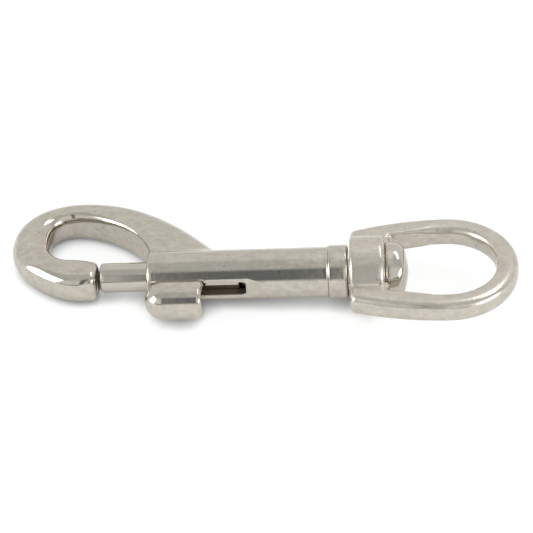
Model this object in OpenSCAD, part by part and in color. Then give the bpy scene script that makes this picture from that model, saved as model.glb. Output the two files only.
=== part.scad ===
// Swivel snap hook (bolt snap), investment-cast stainless steel, lying flat.
// Millimetres. +X runs from the hook to the eye along the barrel's axis, +Y to the
// hook's spine, +Z up. The origin is the centre of the eye's round end.

/* [Barrel] */
// Barrel diameter
barrel_d = 10; // [8:0.1:20]
// Barrel length, from its front face to the collar
barrel_l = 36; // [32:0.5:80]
// Collar diameter at the barrel's rear
collar_d = 10.7; // [8.4:0.1:22]
// Collar length
collar_l = 3.9; // [3:0.1:10]
// Depth of the flat round the slot
flat_depth = 0.65; // [0.3:0.05:1]
// Rounding of the barrel's front edge
barrel_round = 0.7; // [0.2:0.05:1]
// Rounding of the collar's edges
collar_round = 0.5; // [0.1:0.05:1]

/* [Hook] */
// Length of the bow in front of the barrel
hook_l = 29; // [24:0.1:60]
// Height of the spine's outer edge over the barrel's axis
hook_rise = 21.9; // [18:0.1:45]
// Thickness of the bow and the web
hook_t = 7; // [4:0.1:8]
// Rounding of the tip's end face
tip_round = 1.3; // [0.4:0.1:2]
// Squareness of the hook's outer side, 2 is an ellipse
hook_out_n = 2.4; // [2:0.1:4]
// Squareness of the hook's inner side at the tip
tip_in_n = 3; // [2:0.1:6]
// Squareness of the inner side round the front of the bow, where it is well rounded
front_in_n = 2.3; // [2:0.1:6]
// Squareness of the inner side along the web, where the edge is sharp
web_in_n = 6; // [2:0.1:8]

/* [Bolt and knob] */
// Bolt diameter
bolt_d = 5.9; // [4:0.1:8]
// Gap between the bolt's end and the hook's tip when closed
tip_gap = 0.45; // [0.1:0.05:0.6]
// Rounding of the bolt's front edge
bolt_round = 0.7; // [0.2:0.05:1]
// Diameter of the knob's stem in the slot
stem_d = 2.9; // [2:0.1:4]
// Knob length along the barrel
knob_l = 11.6; // [8:0.1:20]
// Knob height across the barrel
knob_h = 7.2; // [6:0.1:12]
// How far the knob stands out from the axis
knob_out = 11; // [8:0.1:18]
// Rounding of the knob's front end
knob_front_round = 3.7; // [1:0.1:4]
// Rounding of the knob's rear end
knob_rear_round = 1; // [0.3:0.1:2]

/* [Spring] */
// Outer diameter of the spring
spring_d = 5.2; // [3:0.1:7]
// Wire diameter of the spring
wire_d = 0.7; // [0.4:0.05:1]
// Turns of the spring
spring_turns = 8; // [5:1:10]

/* [Swivel pin] */
// Diameter of the plug in the barrel's rear
plug_d = 7.6; // [6.4:0.1:12]
// Length of the plug
plug_l = 4.4; // [3:0.1:8]
// Journal diameter in the eye's hub
journal_d = 5; // [3:0.1:8]
// Diameter of the riveted head
head_d = 11.1; // [7:0.1:14]
// Length of the riveted head
head_l = 4.5; // [2:0.1:6]

/* [Eye] */
// Reach of the eye's round end from its centre
eye_r = 14.05; // [12:0.05:30]
// Width of the eye over its bars
eye_w = 27.7; // [24:0.1:60]
// Width of the eye's bar
eye_bar_w = 4.35; // [3:0.05:8]
// Thickness of the eye's bar
eye_bar_t = 4.7; // [3:0.1:8]
// Squareness of the eye's bar, 2 is an ellipse
eye_n = 2.8; // [2:0.1:5]
// Distance from the eye's centre to the hub
hub_back = 12.3; // [11:0.1:30]
// Length of the hub
hub_l = 6.95; // [5:0.05:14]
// Hub diameter
hub_d = 14; // [9:0.1:20]
// How much the legs draw in at the hub's front face
leg_draw = 3.2; // [0:0.1:6]
// Thickness of the base between the hub and the legs
base_t = 4.5; // [2:0.1:8]
// How far the base stands behind the hub beside the legs
base_step = 0.9; // [0.3:0.1:2]
// Seam between the collar and the hub
seam = 0.35; // [0.1:0.05:0.6]

/* [Fits] */
// Radial running clearance of the bolt and the journal
run_gap = 0.05; // [0.02:0.01:0.1]
// Clearance of the stem in the slot, and of the knob over the barrel
slide_gap = 0.08; // [0.04:0.01:0.3]

/* [Hidden] */

round_fn = 96;
steel = [0.72, 0.70, 0.66];
spring_steel = [0.55, 0.55, 0.53];

// Places along the axis
hub_front = -hub_back - hub_l;
collar_back = hub_front - seam;
collar_front = collar_back - collar_l;
barrel_front = collar_front - barrel_l;
tip_reach = hook_l * 0.352;
bolt_front = barrel_front - tip_reach + tip_gap;
travel = tip_reach - tip_gap - 0.1;
plug_front = collar_back - plug_l;
bore_d = bolt_d + 2 * run_gap;
stem_x = barrel_front + knob_l * 0.728;
slot_w = stem_d + 2 * slide_gap;
slot_rear = stem_x + stem_d / 2 + travel + slide_gap;
slot_front = stem_x - stem_d / 2 - slide_gap;
bolt_rear = slot_rear - 1.3;
knob_rear = stem_x + knob_l * 0.25;
flat_y = barrel_d / 2 - flat_depth;
flat_rear = slot_rear + 0.6;
root_y = bore_d / 2 + 0.45;

// The bow in plan, from the tip round to the root in the barrel's wall. Each row holds
// the outer edge and the inner edge, forward of the barrel as a share of hook_l and
// across it as a share of hook_rise.
bow_plan = [
    [[0.388, -0.185], [0.333, 0.075]],
    [[0.478, -0.208], [0.464, 0.132]],
    [[0.633, -0.160], [0.602, 0.155]],
    [[0.790, -0.034], [0.686, 0.233]],
    [[0.953, 0.200], [0.731, 0.342]],
    [[1.000, 0.457], [0.743, 0.480]],
    [[0.960, 0.685], [0.736, 0.612]],
    [[0.845, 0.865], [0.674, 0.703]],
    [[0.607, 0.984], [0.560, 0.740]],
    [[0.390, 0.986], [0.429, 0.710]],
    [[0.176, 0.918], [0.274, 0.621]],
    [[-0.038, 0.769], [0.140, 0.489]],
    [[-0.214, 0.594], [0.057, 0.354]],
    [[-0.362, 0.402], [0.010, 0.224]],
];
steps = 4;
cap_steps = 4;
hook_sides = 24;
eye_sides = 20;

// A surface through rings of equal size, open with two end faces or closed on itself
module rings(sections, closed = false) {
    n = len(sections[0]);
    rows = len(sections);
    last = closed ? rows : rows - 1;
    points = [for (ring = sections) for (p = ring) p];
    sides = [for (i = [0 : last - 1]) for (j = [0 : n - 1])
        let (k = (j + 1) % n, a = i * n, b = ((i + 1) % rows) * n)
        each [[a + j, a + k, b + k], [a + j, b + k, b + j]]];
    caps = closed ? [] : [
        [for (j = [n - 1 : -1 : 0]) j],
        [for (j = [0 : n - 1]) (rows - 1) * n + j],
    ];
    polyhedron(points, concat(sides, caps), convexity = 8);
}

function signed_power(v, e) = sign(v) * pow(abs(v), e);

// Point on a rounded-square curve of squareness n, at angle t
function rounded(t, n) = [signed_power(cos(t), 2 / n), signed_power(sin(t), 2 / n)];

// Ring of a bar that stands between an inner and an outer point of its plan.
// The outer part has its own share of the width and its own squareness.
function bar_ring(outer, inner, half_t, share, out_n, in_n, sides) =
    let (crest = inner + (outer - inner) * (1 - share))
    [for (j = [0 : sides - 1])
        let (t = 360 * (j + 0.5) / sides,
             out = cos(t) > 0,
             r = rounded(t, out ? out_n : in_n),
             p = crest + (out ? outer - crest : crest - inner) * r.x)
        [p.x, p.y, half_t * r.y]];

// Smooth value between rows b and c of a list, at share t
function blend(a, b, c, d, t) =
    0.5 * (2 * b + (c - a) * t + (2 * a - 5 * b + 4 * c - d) * t * t
        + (3 * b - a - 3 * c + d) * t * t * t);

// Value of a smooth curve through the rows of a list, at place s from 0 to the last row
function along(rows, s) =
    let (last = len(rows) - 1, i = min(floor(s), last - 1))
    blend(rows[max(i - 1, 0)], rows[i], rows[i + 1], rows[min(i + 2, last)], s - i);

function bow_point(share) = [barrel_front - share.x * hook_l, share.y * hook_rise];

bow_rows = concat(
    [for (row = bow_plan) [bow_point(row[0]), bow_point(row[1])]],
    [[[barrel_front + 0.53 * hook_l, root_y], [barrel_front + 0.1, root_y]]]
);
bow_outer = [for (row = bow_rows) row[0]];
bow_inner = [for (row = bow_rows) row[1]];
outer_share = 0.62;

// Squareness of the inner side at place s: round at the bow's front, sharp along the web
function bow_in_n(s) = lookup(s, [[0, tip_in_n], [3, tip_in_n], [5, front_in_n], [7.5, front_in_n], [10, web_in_n]]);

function bow_section(s) =
    bar_ring(along(bow_outer, s), along(bow_inner, s), hook_t / 2, outer_share, hook_out_n, bow_in_n(s), hook_sides);

// Where the bow's own sections begin, one tip_round behind the end face
bow_first = tip_round / norm(bow_outer[1] - bow_outer[0]);

// Tip cap: the first section, moved forward and drawn in by a quarter round
function tip_section(a) =
    let (outer = along(bow_outer, bow_first), inner = along(bow_inner, bow_first),
         draw = tip_round * (1 - cos(a)), inward = draw * (inner - outer) / norm(inner - outer),
         forward = [tip_round * sin(a), 0])
    bar_ring(outer + inward + forward, inner - inward + forward, hook_t / 2 - draw,
        outer_share, hook_out_n, bow_in_n(bow_first), hook_sides);

// The bow, swept from its root in the barrel's wall round to the tip's end face
module bow() {
    last = len(bow_rows) - 1;
    count = steps * last;
    rings(concat(
        [for (i = [count : -1 : 1]) bow_section(bow_first + (last - bow_first) * i / count)],
        [for (i = [0 : cap_steps]) tip_section(90 * i / cap_steps)]
    ));
}

// Solid turned about the X axis from points given as [x, radius]
module turned(profile) {
    rotate([90, 0, 90]) rotate_extrude($fn = round_fn)
        polygon([for (p = profile) [p[1], p[0]]]);
}

// Points of a quarter round on a turned edge, from one angle to another
function edge_round(x, radius, r, from, to) =
    [for (i = [0 : 6]) let (a = from + (to - from) * i / 6) [x + r * cos(a), radius + r * sin(a)]];

module barrel_blank() {
    br = barrel_d / 2;
    cr = collar_d / 2;
    turned(concat(
        [[barrel_front, 0]],
        edge_round(barrel_front + barrel_round, br - barrel_round, barrel_round, 180, 90),
        [[collar_front - 0.25, br]],
        edge_round(collar_front + collar_round, cr - collar_round, collar_round, 160, 90),
        edge_round(collar_back - collar_round, cr - collar_round, collar_round, 90, 0),
        [[collar_back, 0]]
    ));
}

// Slot cut through one wall towards -Y, round in front and with small corners behind
module slot() {
    r = slot_w / 2;
    corner = slot_w * 0.2;
    rotate([90, 0, 0]) {
        translate([slot_front + r, 0, 0]) cylinder(h = barrel_d, r = r, $fn = 48);
        translate([slot_front + r, -r, 0]) cube([slot_rear - slot_front - r - corner, slot_w, barrel_d]);
        translate([slot_rear - 2 * corner, corner - r, 0]) cube([2 * corner, slot_w - 2 * corner, barrel_d]);
        for (z = [corner - r, r - corner])
            translate([slot_rear - corner, z, 0]) cylinder(h = barrel_d, r = corner, $fn = 32);
    }
}

// Flat round the slot, with a run-out behind it
module slot_flat() {
    run_out = 3.5;
    depth = barrel_d / 2 - flat_y;
    translate([0, 0, -barrel_d / 2]) linear_extrude(barrel_d) polygon([
        [barrel_front - 1, -flat_y],
        [flat_rear, -flat_y],
        [flat_rear + run_out, -flat_y - depth - 0.05],
        [flat_rear + run_out, -barrel_d],
        [barrel_front - 1, -barrel_d],
    ]);
}

module hook_body() {
    color(steel) difference() {
        union() {
            bow();
            difference() {
                barrel_blank();
                slot_flat();
            }
        }
        translate([barrel_front - 0.5, 0, 0]) rotate([0, 90, 0])
            cylinder(h = collar_back - barrel_front + 1, d = bore_d, $fn = round_fn);
        translate([plug_front, 0, 0]) rotate([0, 90, 0])
            cylinder(h = plug_l + 1, d = plug_d, $fn = round_fn);
        slot();
    }
}

module bolt() {
    r = bolt_d / 2;
    rear_round = 0.4;
    color(steel) difference() {
        turned(concat(
            [[bolt_front, 0]],
            edge_round(bolt_front + bolt_round, r - bolt_round, bolt_round, 180, 90),
            edge_round(bolt_rear - rear_round, r - rear_round, rear_round, 90, 0),
            [[bolt_rear, 0]]
        ));
        translate([stem_x, bolt_d * 0.25, 0]) rotate([90, 0, 0])
            cylinder(h = bolt_d, d = stem_d, $fn = 48);
    }
}

// Section of the knob: a rounded block, drawn in by d at its ends
function knob_section(x, d) =
    let (inner_y = barrel_d * 0.38, half_w = (knob_out - inner_y) / 2 - d, half_h = knob_h / 2 - d,
         mid = (knob_out + inner_y) / 2)
    [for (j = [0 : 31]) let (r = rounded(360 * (j + 0.5) / 32, 2.5))
        [x, -mid + half_w * r.x, half_h * r.y]];

module thumb_knob() {
    front = knob_rear - knob_l;
    n = 6;
    color(steel) union() {
        difference() {
            rings(concat(
                [for (i = [n : -1 : 0]) let (a = 90 * i / n)
                    knob_section(knob_rear - knob_rear_round * (1 - sin(a)), knob_rear_round * (1 - cos(a)))],
                [for (i = [0 : n]) let (a = 90 * i / n)
                    knob_section(front + knob_front_round * (1 - sin(a)), knob_front_round * (1 - cos(a)))]
            ));
            translate([front - 1, 0, 0]) rotate([0, 90, 0])
                cylinder(h = knob_l + 2, r = barrel_d / 2 + slide_gap, $fn = round_fn);
        }
        translate([stem_x, bolt_d * 0.25, 0]) rotate([90, 0, 0])
            cylinder(h = bolt_d * 0.25 + barrel_d / 2 + 1, d = stem_d, $fn = 48);
    }
}

// Coil spring with closed ends, swept as a ring of six sides along its helix
module spring() {
    r = (spring_d - wire_d) / 2;
    length = plug_front - bolt_rear - wire_d;
    per_turn = 14;
    end_turns = 1;
    count = spring_turns * per_turn;
    closed_rise = wire_d * 1.04;
    open_rise = (length - 2 * end_turns * closed_rise) / (spring_turns - 2 * end_turns);
    function rise(u) = u < end_turns ? u * closed_rise
        : u > spring_turns - end_turns ? length - (spring_turns - u) * closed_rise
        : end_turns * closed_rise + (u - end_turns) * open_rise;
    color(spring_steel) rings([for (i = [0 : count])
        let (u = i / per_turn, a = 360 * u, x = bolt_rear + wire_d / 2 + rise(u))
        [for (j = [0 : 5]) let (t = 60 * j, q = r + wire_d / 2 * cos(t))
            [x + wire_d / 2 * sin(t), q * cos(a), q * sin(a)]]]);
}

module swivel_pin() {
    head_front = -hub_back + 0.1;
    head_back = head_front + head_l;
    hr = head_d / 2;
    edge = 1.5;
    color(steel) turned(concat(
        [[plug_front, 0], [plug_front, plug_d / 2], [collar_back, plug_d / 2], [collar_back, journal_d / 2],
         [head_front, journal_d / 2], [head_front, hr - 0.5], [head_front + 0.5, hr]],
        edge_round(head_back - edge - 0.7, hr - edge, edge, 90, 25),
        [[head_back - 0.45, hr * 0.6], [head_back - 0.15, hr * 0.33], [head_back, 0]]
    ));
}

// Distance of a leg's edge from the axis at place x, drawn in towards the hub
function leg_edge(x, half_w) = half_w - leg_draw * pow(min(x, 0) / hub_front, 2);

// Outer and inner plan points of half the eye's bow, from the round end's middle to the
// end of a leg, which is drawn in by a quarter round at the hub's front face
arc_steps = 14;
leg_steps = 8;
end_steps = 4;
leg_round = 1.4;
eye_in_r = eye_r - eye_bar_w;
out_w = eye_w / 2;
in_w = out_w - eye_bar_w;
leg_end = hub_front + leg_round;
eye_half = concat(
    [for (i = [0 : arc_steps]) let (a = 90 * i / arc_steps)
        [[eye_r * cos(a), out_w * sin(a)], [eye_in_r * cos(a), in_w * sin(a)]]],
    [for (i = [1 : leg_steps]) let (x = leg_end * i / leg_steps)
        [[x, leg_edge(x, out_w)], [x, leg_edge(x, in_w)]]]
);
function mirrored(p) = [p.x, -p.y];
function eye_section(row, draw, shift) =
    let (inward = draw * (row[1] - row[0]) / norm(row[1] - row[0]))
    bar_ring(row[0] + inward + [shift, 0], row[1] - inward + [shift, 0], eye_bar_t / 2 - draw,
        0.5, eye_n, eye_n, eye_sides);
function leg_cap(row, a) = eye_section(row, leg_round * (1 - cos(a)), -leg_round * sin(a));

// The eye's bow, swept from one leg's end face round to the other's
module eye_bow() {
    rows = concat(
        [for (i = [len(eye_half) - 1 : -1 : 0]) [mirrored(eye_half[i][0]), mirrored(eye_half[i][1])]],
        [for (i = [1 : len(eye_half) - 1]) eye_half[i]]
    );
    rings(concat(
        [for (i = [end_steps : -1 : 1]) leg_cap(rows[0], 90 * i / end_steps)],
        [for (row = rows) eye_section(row, 0, 0)],
        [for (i = [1 : end_steps]) leg_cap(rows[len(rows) - 1], 90 * i / end_steps)]
    ));
}

// The base between the legs, a bar of rounded sections along Y that stands in both legs.
// It meets their inner walls in a quarter round, and has a recess for the pin's head.
base_n = 6;
base_fillet = 1;
base_bury = eye_bar_w * 0.26;
recess_r = head_d / 2 + 0.35;
module eye_base() {
    back = base_step - hub_back;
    wall = leg_edge(back, in_w);
    half = concat(
        [[back + base_fillet, wall + base_bury]],
        [for (i = [1 : end_steps]) let (a = 90 * i / end_steps)
            [back + base_fillet * (1 - sin(a)), wall - base_fillet * (1 - cos(a))]],
        [[back, recess_r + 0.5], [-hub_back - 0.2, recess_r]]
    );
    rows = concat(half, [for (i = [len(half) - 1 : -1 : 0]) mirrored(half[i])]);
    rings([for (p = rows)
        bar_ring([hub_front + 0.3, p.y], p, base_t / 2, 0.5, base_n, base_n, eye_sides)]);
}

module swivel_eye() {
    hr = hub_d / 2;
    color(steel) difference() {
        union() {
            eye_bow();
            eye_base();
            turned(concat(
                [[hub_front, 0]],
                edge_round(hub_front + 0.7, hr - 0.7, 0.7, 180, 90),
                edge_round(-hub_back - 0.5, hr - 0.5, 0.5, 90, 0),
                [[-hub_back, 0]]
            ));
        }
        translate([hub_front - 1, 0, 0]) rotate([0, 90, 0])
            cylinder(h = hub_l + 2, d = journal_d + 2 * run_gap, $fn = round_fn);
    }
}

hook_body();
bolt();
thumb_knob();
spring();
swivel_pin();
swivel_eye();
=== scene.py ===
"""Looks of the swivel snap hook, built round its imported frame.

Lengths here are millimetres in the part's own frame: +X from the hook to the eye along
the barrel's axis, +Y to the hook's spine, +Z up, origin in the eye's round end. Every
mesh is turned to metres when it is made.
"""

from __future__ import annotations

import logging
import math
from dataclasses import dataclass
from enum import Enum
from functools import partial

import bmesh
import bpy
import numpy as np
from mathutils import Matrix, Vector

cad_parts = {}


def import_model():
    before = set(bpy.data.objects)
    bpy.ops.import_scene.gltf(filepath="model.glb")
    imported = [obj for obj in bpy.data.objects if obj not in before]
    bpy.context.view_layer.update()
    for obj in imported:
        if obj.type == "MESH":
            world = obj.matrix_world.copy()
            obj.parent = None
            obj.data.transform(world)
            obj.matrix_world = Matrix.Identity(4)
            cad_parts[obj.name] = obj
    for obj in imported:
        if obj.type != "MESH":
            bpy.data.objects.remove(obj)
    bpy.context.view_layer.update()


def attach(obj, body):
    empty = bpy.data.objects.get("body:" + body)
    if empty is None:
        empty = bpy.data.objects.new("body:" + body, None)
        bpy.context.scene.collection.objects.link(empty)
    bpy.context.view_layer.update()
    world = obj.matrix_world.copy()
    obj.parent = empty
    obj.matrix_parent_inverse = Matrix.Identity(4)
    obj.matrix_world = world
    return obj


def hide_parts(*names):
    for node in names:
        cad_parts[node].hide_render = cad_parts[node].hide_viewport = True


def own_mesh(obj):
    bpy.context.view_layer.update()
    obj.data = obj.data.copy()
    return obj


LOG = logging.getLogger("snap_hook")
MM = 0.001
TINY = 1e-12  # least divisor


# Surfaces on grids

@dataclass
class Shell:
    """A surface as points and four-cornered faces; repeated corners close up when welded.

    Attributes:
        points: Corners in millimetres, shape (corners, 3).
        faces: Numbers of each face's corners, shape (faces, 4).
    """

    points: np.ndarray
    faces: np.ndarray


def grid_shell(grid: np.ndarray, wrap_rows: bool = False, wrap_cols: bool = False) -> Shell:
    """Joins a grid of points into faces, row to row and column to column.

    Args:
        grid: Points, shape (rows, columns, 3).
        wrap_rows: Whether the last row joins the first.
        wrap_cols: Whether the last column joins the first.

    Returns:
        The shell of the grid.
    """
    rows, cols = grid.shape[:2]
    index = np.arange(rows * cols).reshape(rows, cols)
    if wrap_rows:
        index = np.vstack([index, index[:1]])
    if wrap_cols:
        index = np.hstack([index, index[:, :1]])
    quads = np.stack([index[:-1, :-1], index[1:, :-1], index[1:, 1:], index[:-1, 1:]], axis=-1)
    return Shell(grid.reshape(-1, 3), quads.reshape(-1, 4))


def closed_tube(grid: np.ndarray) -> list[Shell]:
    """Closes a grid of rings with a fan at either end.

    Args:
        grid: Rings, shape (rings, points round, 3).

    Returns:
        The wall and the two end fans, whose rims coincide with it.
    """
    shells = [grid_shell(grid, wrap_cols=True)]
    for ring in (grid[0], grid[-1]):
        middle = np.broadcast_to(ring.mean(axis=0), ring.shape)
        shells.append(grid_shell(np.stack([ring, middle]), wrap_cols=True))
    return shells


def mesh_piece(name: str, shells: list[Shell], sharp_deg: float = 40.0) -> bpy.types.Object:
    """Makes one object of closed shells, welded and with faces outwards.

    Args:
        name: Name of the piece.
        shells: The surfaces, in millimetres.
        sharp_deg: Angle between faces over which an edge stays sharp.

    Returns:
        The new object, in the scene.
    """
    offsets = np.cumsum([0] + [len(s.points) for s in shells[:-1]])
    points = np.concatenate([s.points for s in shells]) * MM
    faces = np.concatenate([s.faces + o for s, o in zip(shells, offsets)])
    mesh = bpy.data.meshes.new(name)
    mesh.from_pydata(points.tolist(), [], faces.tolist())
    work = bmesh.new()
    work.from_mesh(mesh)
    bmesh.ops.remove_doubles(work, verts=work.verts, dist=0.0005 * MM)
    bmesh.ops.dissolve_degenerate(work, edges=work.edges, dist=0.0002 * MM)
    bmesh.ops.recalc_face_normals(work, faces=work.faces)
    work.to_mesh(mesh)
    work.free()
    mesh.shade_smooth()
    mesh.set_sharp_from_angle(angle=math.radians(sharp_deg))
    piece = bpy.data.objects.new(name, mesh)
    bpy.context.scene.collection.objects.link(piece)
    return piece


def arc(cx: float, cr: float, radius: float, start: float, stop: float, count: int) -> np.ndarray:
    """Arc in a turned profile: centre plus radius times cosine and sine, angles in degrees."""
    a = np.radians(np.linspace(start, stop, count))
    return np.stack([cx + radius * np.cos(a), cr + radius * np.sin(a)], axis=-1)


def run(x0: float, r0: float, x1: float, r1: float, count: int) -> np.ndarray:
    """Straight run in a turned profile, without its two ends."""
    t = np.linspace(0.0, 1.0, count + 2)[1:-1, None]
    return np.array([[x0, r0]]) * (1 - t) + np.array([[x1, r1]]) * t


def turned(profile: np.ndarray, sides: int = 160) -> np.ndarray:
    """Turns a profile about the X axis: radius times cosine and sine at even angles.

    Args:
        profile: Rows of place along the axis and radius.
        sides: Points round each ring.

    Returns:
        Grid of points, one ring for each row of the profile.
    """
    a = np.linspace(0.0, 2 * np.pi, sides, endpoint=False)
    x = np.repeat(profile[:, :1], sides, axis=1)
    return np.stack([x, profile[:, 1:] * np.cos(a), profile[:, 1:] * np.sin(a)], axis=-1)


def squircle(theta: np.ndarray, squareness: np.ndarray) -> np.ndarray:
    """Unit rounded square |x|^n + |y|^n = 1, by the direction of its points.

    Args:
        theta: Directions in radians.
        squareness: The power n, which broadcasts with theta.

    Returns:
        Points, with x and y in the last axis.
    """
    c, s = np.cos(theta), np.sin(theta)
    reach = (np.abs(c) ** squareness + np.abs(s) ** squareness) ** (-1.0 / squareness)
    return np.stack([reach * c, reach * s], axis=-1)


def smooth_step(value: np.ndarray, low: float, high: float) -> np.ndarray:
    """Rises from 0 at low to 1 at high as 3t^2 - 2t^3."""
    t = np.clip((value - low) / (high - low), 0.0, 1.0)
    return t * t * (3.0 - 2.0 * t)


def ramp_up(value: np.ndarray, length: float) -> np.ndarray:
    """Straight rise from 0 to 1 over a length."""
    return np.clip(value / length, 0.0, 1.0)


def spline(knots: np.ndarray, values: np.ndarray, at: np.ndarray) -> np.ndarray:
    """Natural cubic spline: piecewise cubics whose slope and curvature run on through each knot.

    Args:
        knots: Places of the values, rising.
        values: One row of numbers for each knot.
        at: Places to work out.

    Returns:
        One row for each place.
    """
    h = np.diff(knots)
    count = len(knots)
    system = np.zeros((count, count))
    right = np.zeros((count, values.shape[1]))
    system[0, 0] = system[-1, -1] = 1.0
    inner = np.arange(1, count - 1)
    system[inner, inner - 1] = h[:-1]
    system[inner, inner] = 2.0 * (h[:-1] + h[1:])
    system[inner, inner + 1] = h[1:]
    slope = np.diff(values, axis=0) / h[:, None]
    right[1:-1] = 6.0 * np.diff(slope, axis=0)
    bend = np.linalg.solve(system, right)
    i = np.clip(np.searchsorted(knots, at) - 1, 0, count - 2)
    a = (knots[i + 1] - at)[:, None]
    b = (at - knots[i])[:, None]
    w = h[i][:, None]
    return (
        (bend[i] * a**3 + bend[i + 1] * b**3) / (6 * w)
        + (values[i] / w - bend[i] * w / 6) * a
        + (values[i + 1] / w - bend[i + 1] * w / 6) * b
    )


def bar_sections(
    outer: np.ndarray,
    inner: np.ndarray,
    half_t: np.ndarray,
    outer_share: float,
    outer_n: np.ndarray,
    inner_n: np.ndarray,
    theta: np.ndarray,
) -> np.ndarray:
    """Rings of a bar between an outer and an inner plan curve.

    Each ring is a rounded square whose crest divides it into an outer part and an inner
    part, each with its own half width and its own squareness.

    Args:
        outer: Outer plan points, one for each ring.
        inner: Inner plan points, one for each ring.
        half_t: Half thickness of each ring.
        outer_share: Share of the width that the outer part takes.
        outer_n: Squareness of the outer part, one for each ring.
        inner_n: Squareness of the inner part, one for each ring.
        theta: Directions round the ring, 0 at the outer edge and a quarter turn on top.

    Returns:
        Grid of points, one row for each ring.
    """
    crest = inner + (outer - inner) * (1.0 - outer_share)
    out = np.cos(theta)[None, :] > 0
    n = np.where(out, outer_n[:, None], inner_n[:, None])
    unit = squircle(theta[None, :], n)
    side = np.where(out[..., None], (outer - crest)[:, None, :], (crest - inner)[:, None, :])
    plan = crest[:, None, :] + side * unit[..., :1]
    height = half_t[:, None] * unit[..., 1]
    return np.concatenate([plan, height[..., None]], axis=-1)


def corner_angles(count: int, gather: float = 0.09) -> np.ndarray:
    """Directions round a ring at t + g sin 4t, which gathers them at its four corners."""
    t = (np.arange(count) + 0.5) * 2 * np.pi / count
    return t + gather * np.sin(4 * t)


def grid_normals(grid: np.ndarray) -> np.ndarray:
    """Unit normals of a grid of rings, as the cross product of its two slopes.

    Args:
        grid: Rings, shape (rings, points round, 3).

    Returns:
        Normals of the same shape, which face away from the rings' middles.
    """
    along = np.gradient(grid, axis=0)
    padded = np.concatenate([grid[:, -1:], grid, grid[:, :1]], axis=1)
    around = (padded[:, 2:] - padded[:, :-2]) / 2
    normal = np.cross(along, around)
    normal /= np.maximum(np.linalg.norm(normal, axis=-1, keepdims=True), TINY)
    outward = grid - grid.mean(axis=1, keepdims=True)
    return normal * np.sign((normal * outward).sum(axis=(0, 1, 2)))


def ball_fillet(
    grid: np.ndarray,
    radius: float,
    ball: np.ndarray,
    steps: int = 30,
    sunk: float = 0.4,
    aside: float = 0.3,
) -> np.ndarray:
    """Fillet between a bar and the round body that it runs into, as a ball rolls round the corner.

    On each lengthwise line of the bar, the ball's centre is where the line, moved out by
    the ball's radius, comes within the body's radius plus the ball's of the X axis. The
    fillet is the arc between the ball's two touching points, closed underneath.

    Args:
        grid: The bar's rings, in order from outside the body to inside it.
        radius: Radius of the round body.
        ball: Radius of the ball on each lengthwise line.
        steps: Points on the arc.
        sunk: How deep the closed underside lies inside bar and body, in balls.
        aside: How far it lies along the other one's surface, as a share of that.

    Returns:
        Rings of the fillet, one for each line on which the ball finds a place.
    """
    normals = grid_normals(grid)
    moved = grid + normals * ball[None, :, None]
    excess = np.hypot(moved[..., 1], moved[..., 2]) - (radius + ball)[None, :]
    crosses = (excess[:-1] > 0) & (excess[1:] <= 0)
    found = crosses.any(axis=0)
    first = crosses.argmax(axis=0)
    cols = np.arange(grid.shape[1])
    share = excess[first, cols] / np.maximum(excess[first, cols] - excess[first + 1, cols], TINY)

    def at(field: np.ndarray) -> np.ndarray:
        """Value on each line at the place where the ball sits."""
        return field[first, cols] * (1 - share)[:, None] + field[first + 1, cols] * share[:, None]

    centre, normal = at(moved), at(normals)
    to_bar = -normal / np.linalg.norm(normal, axis=-1, keepdims=True)
    to_body = -centre * np.array([0.0, 1.0, 1.0])
    to_body /= np.linalg.norm(to_body, axis=-1, keepdims=True)
    angle = np.arccos(np.clip((to_bar * to_body).sum(axis=-1), -1, 1))[:, None, None]
    t = np.linspace(0.0, 1.0, steps)[None, :, None]
    ray = np.sin((1 - t) * angle) * to_bar[:, None] + np.sin(t * angle) * to_body[:, None]
    ray /= np.maximum(np.sin(angle), TINY)
    curve = centre[:, None] + ball[:, None, None] * ray
    under = np.stack(
        [
            curve[:, -1] + sunk * ball[:, None] * (to_body + aside * to_bar),
            curve[:, 0] + sunk * ball[:, None] * (to_bar + aside * to_body),
        ],
        axis=1,
    )
    return np.concatenate([curve, under], axis=1)[found]


# The pieces

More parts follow.
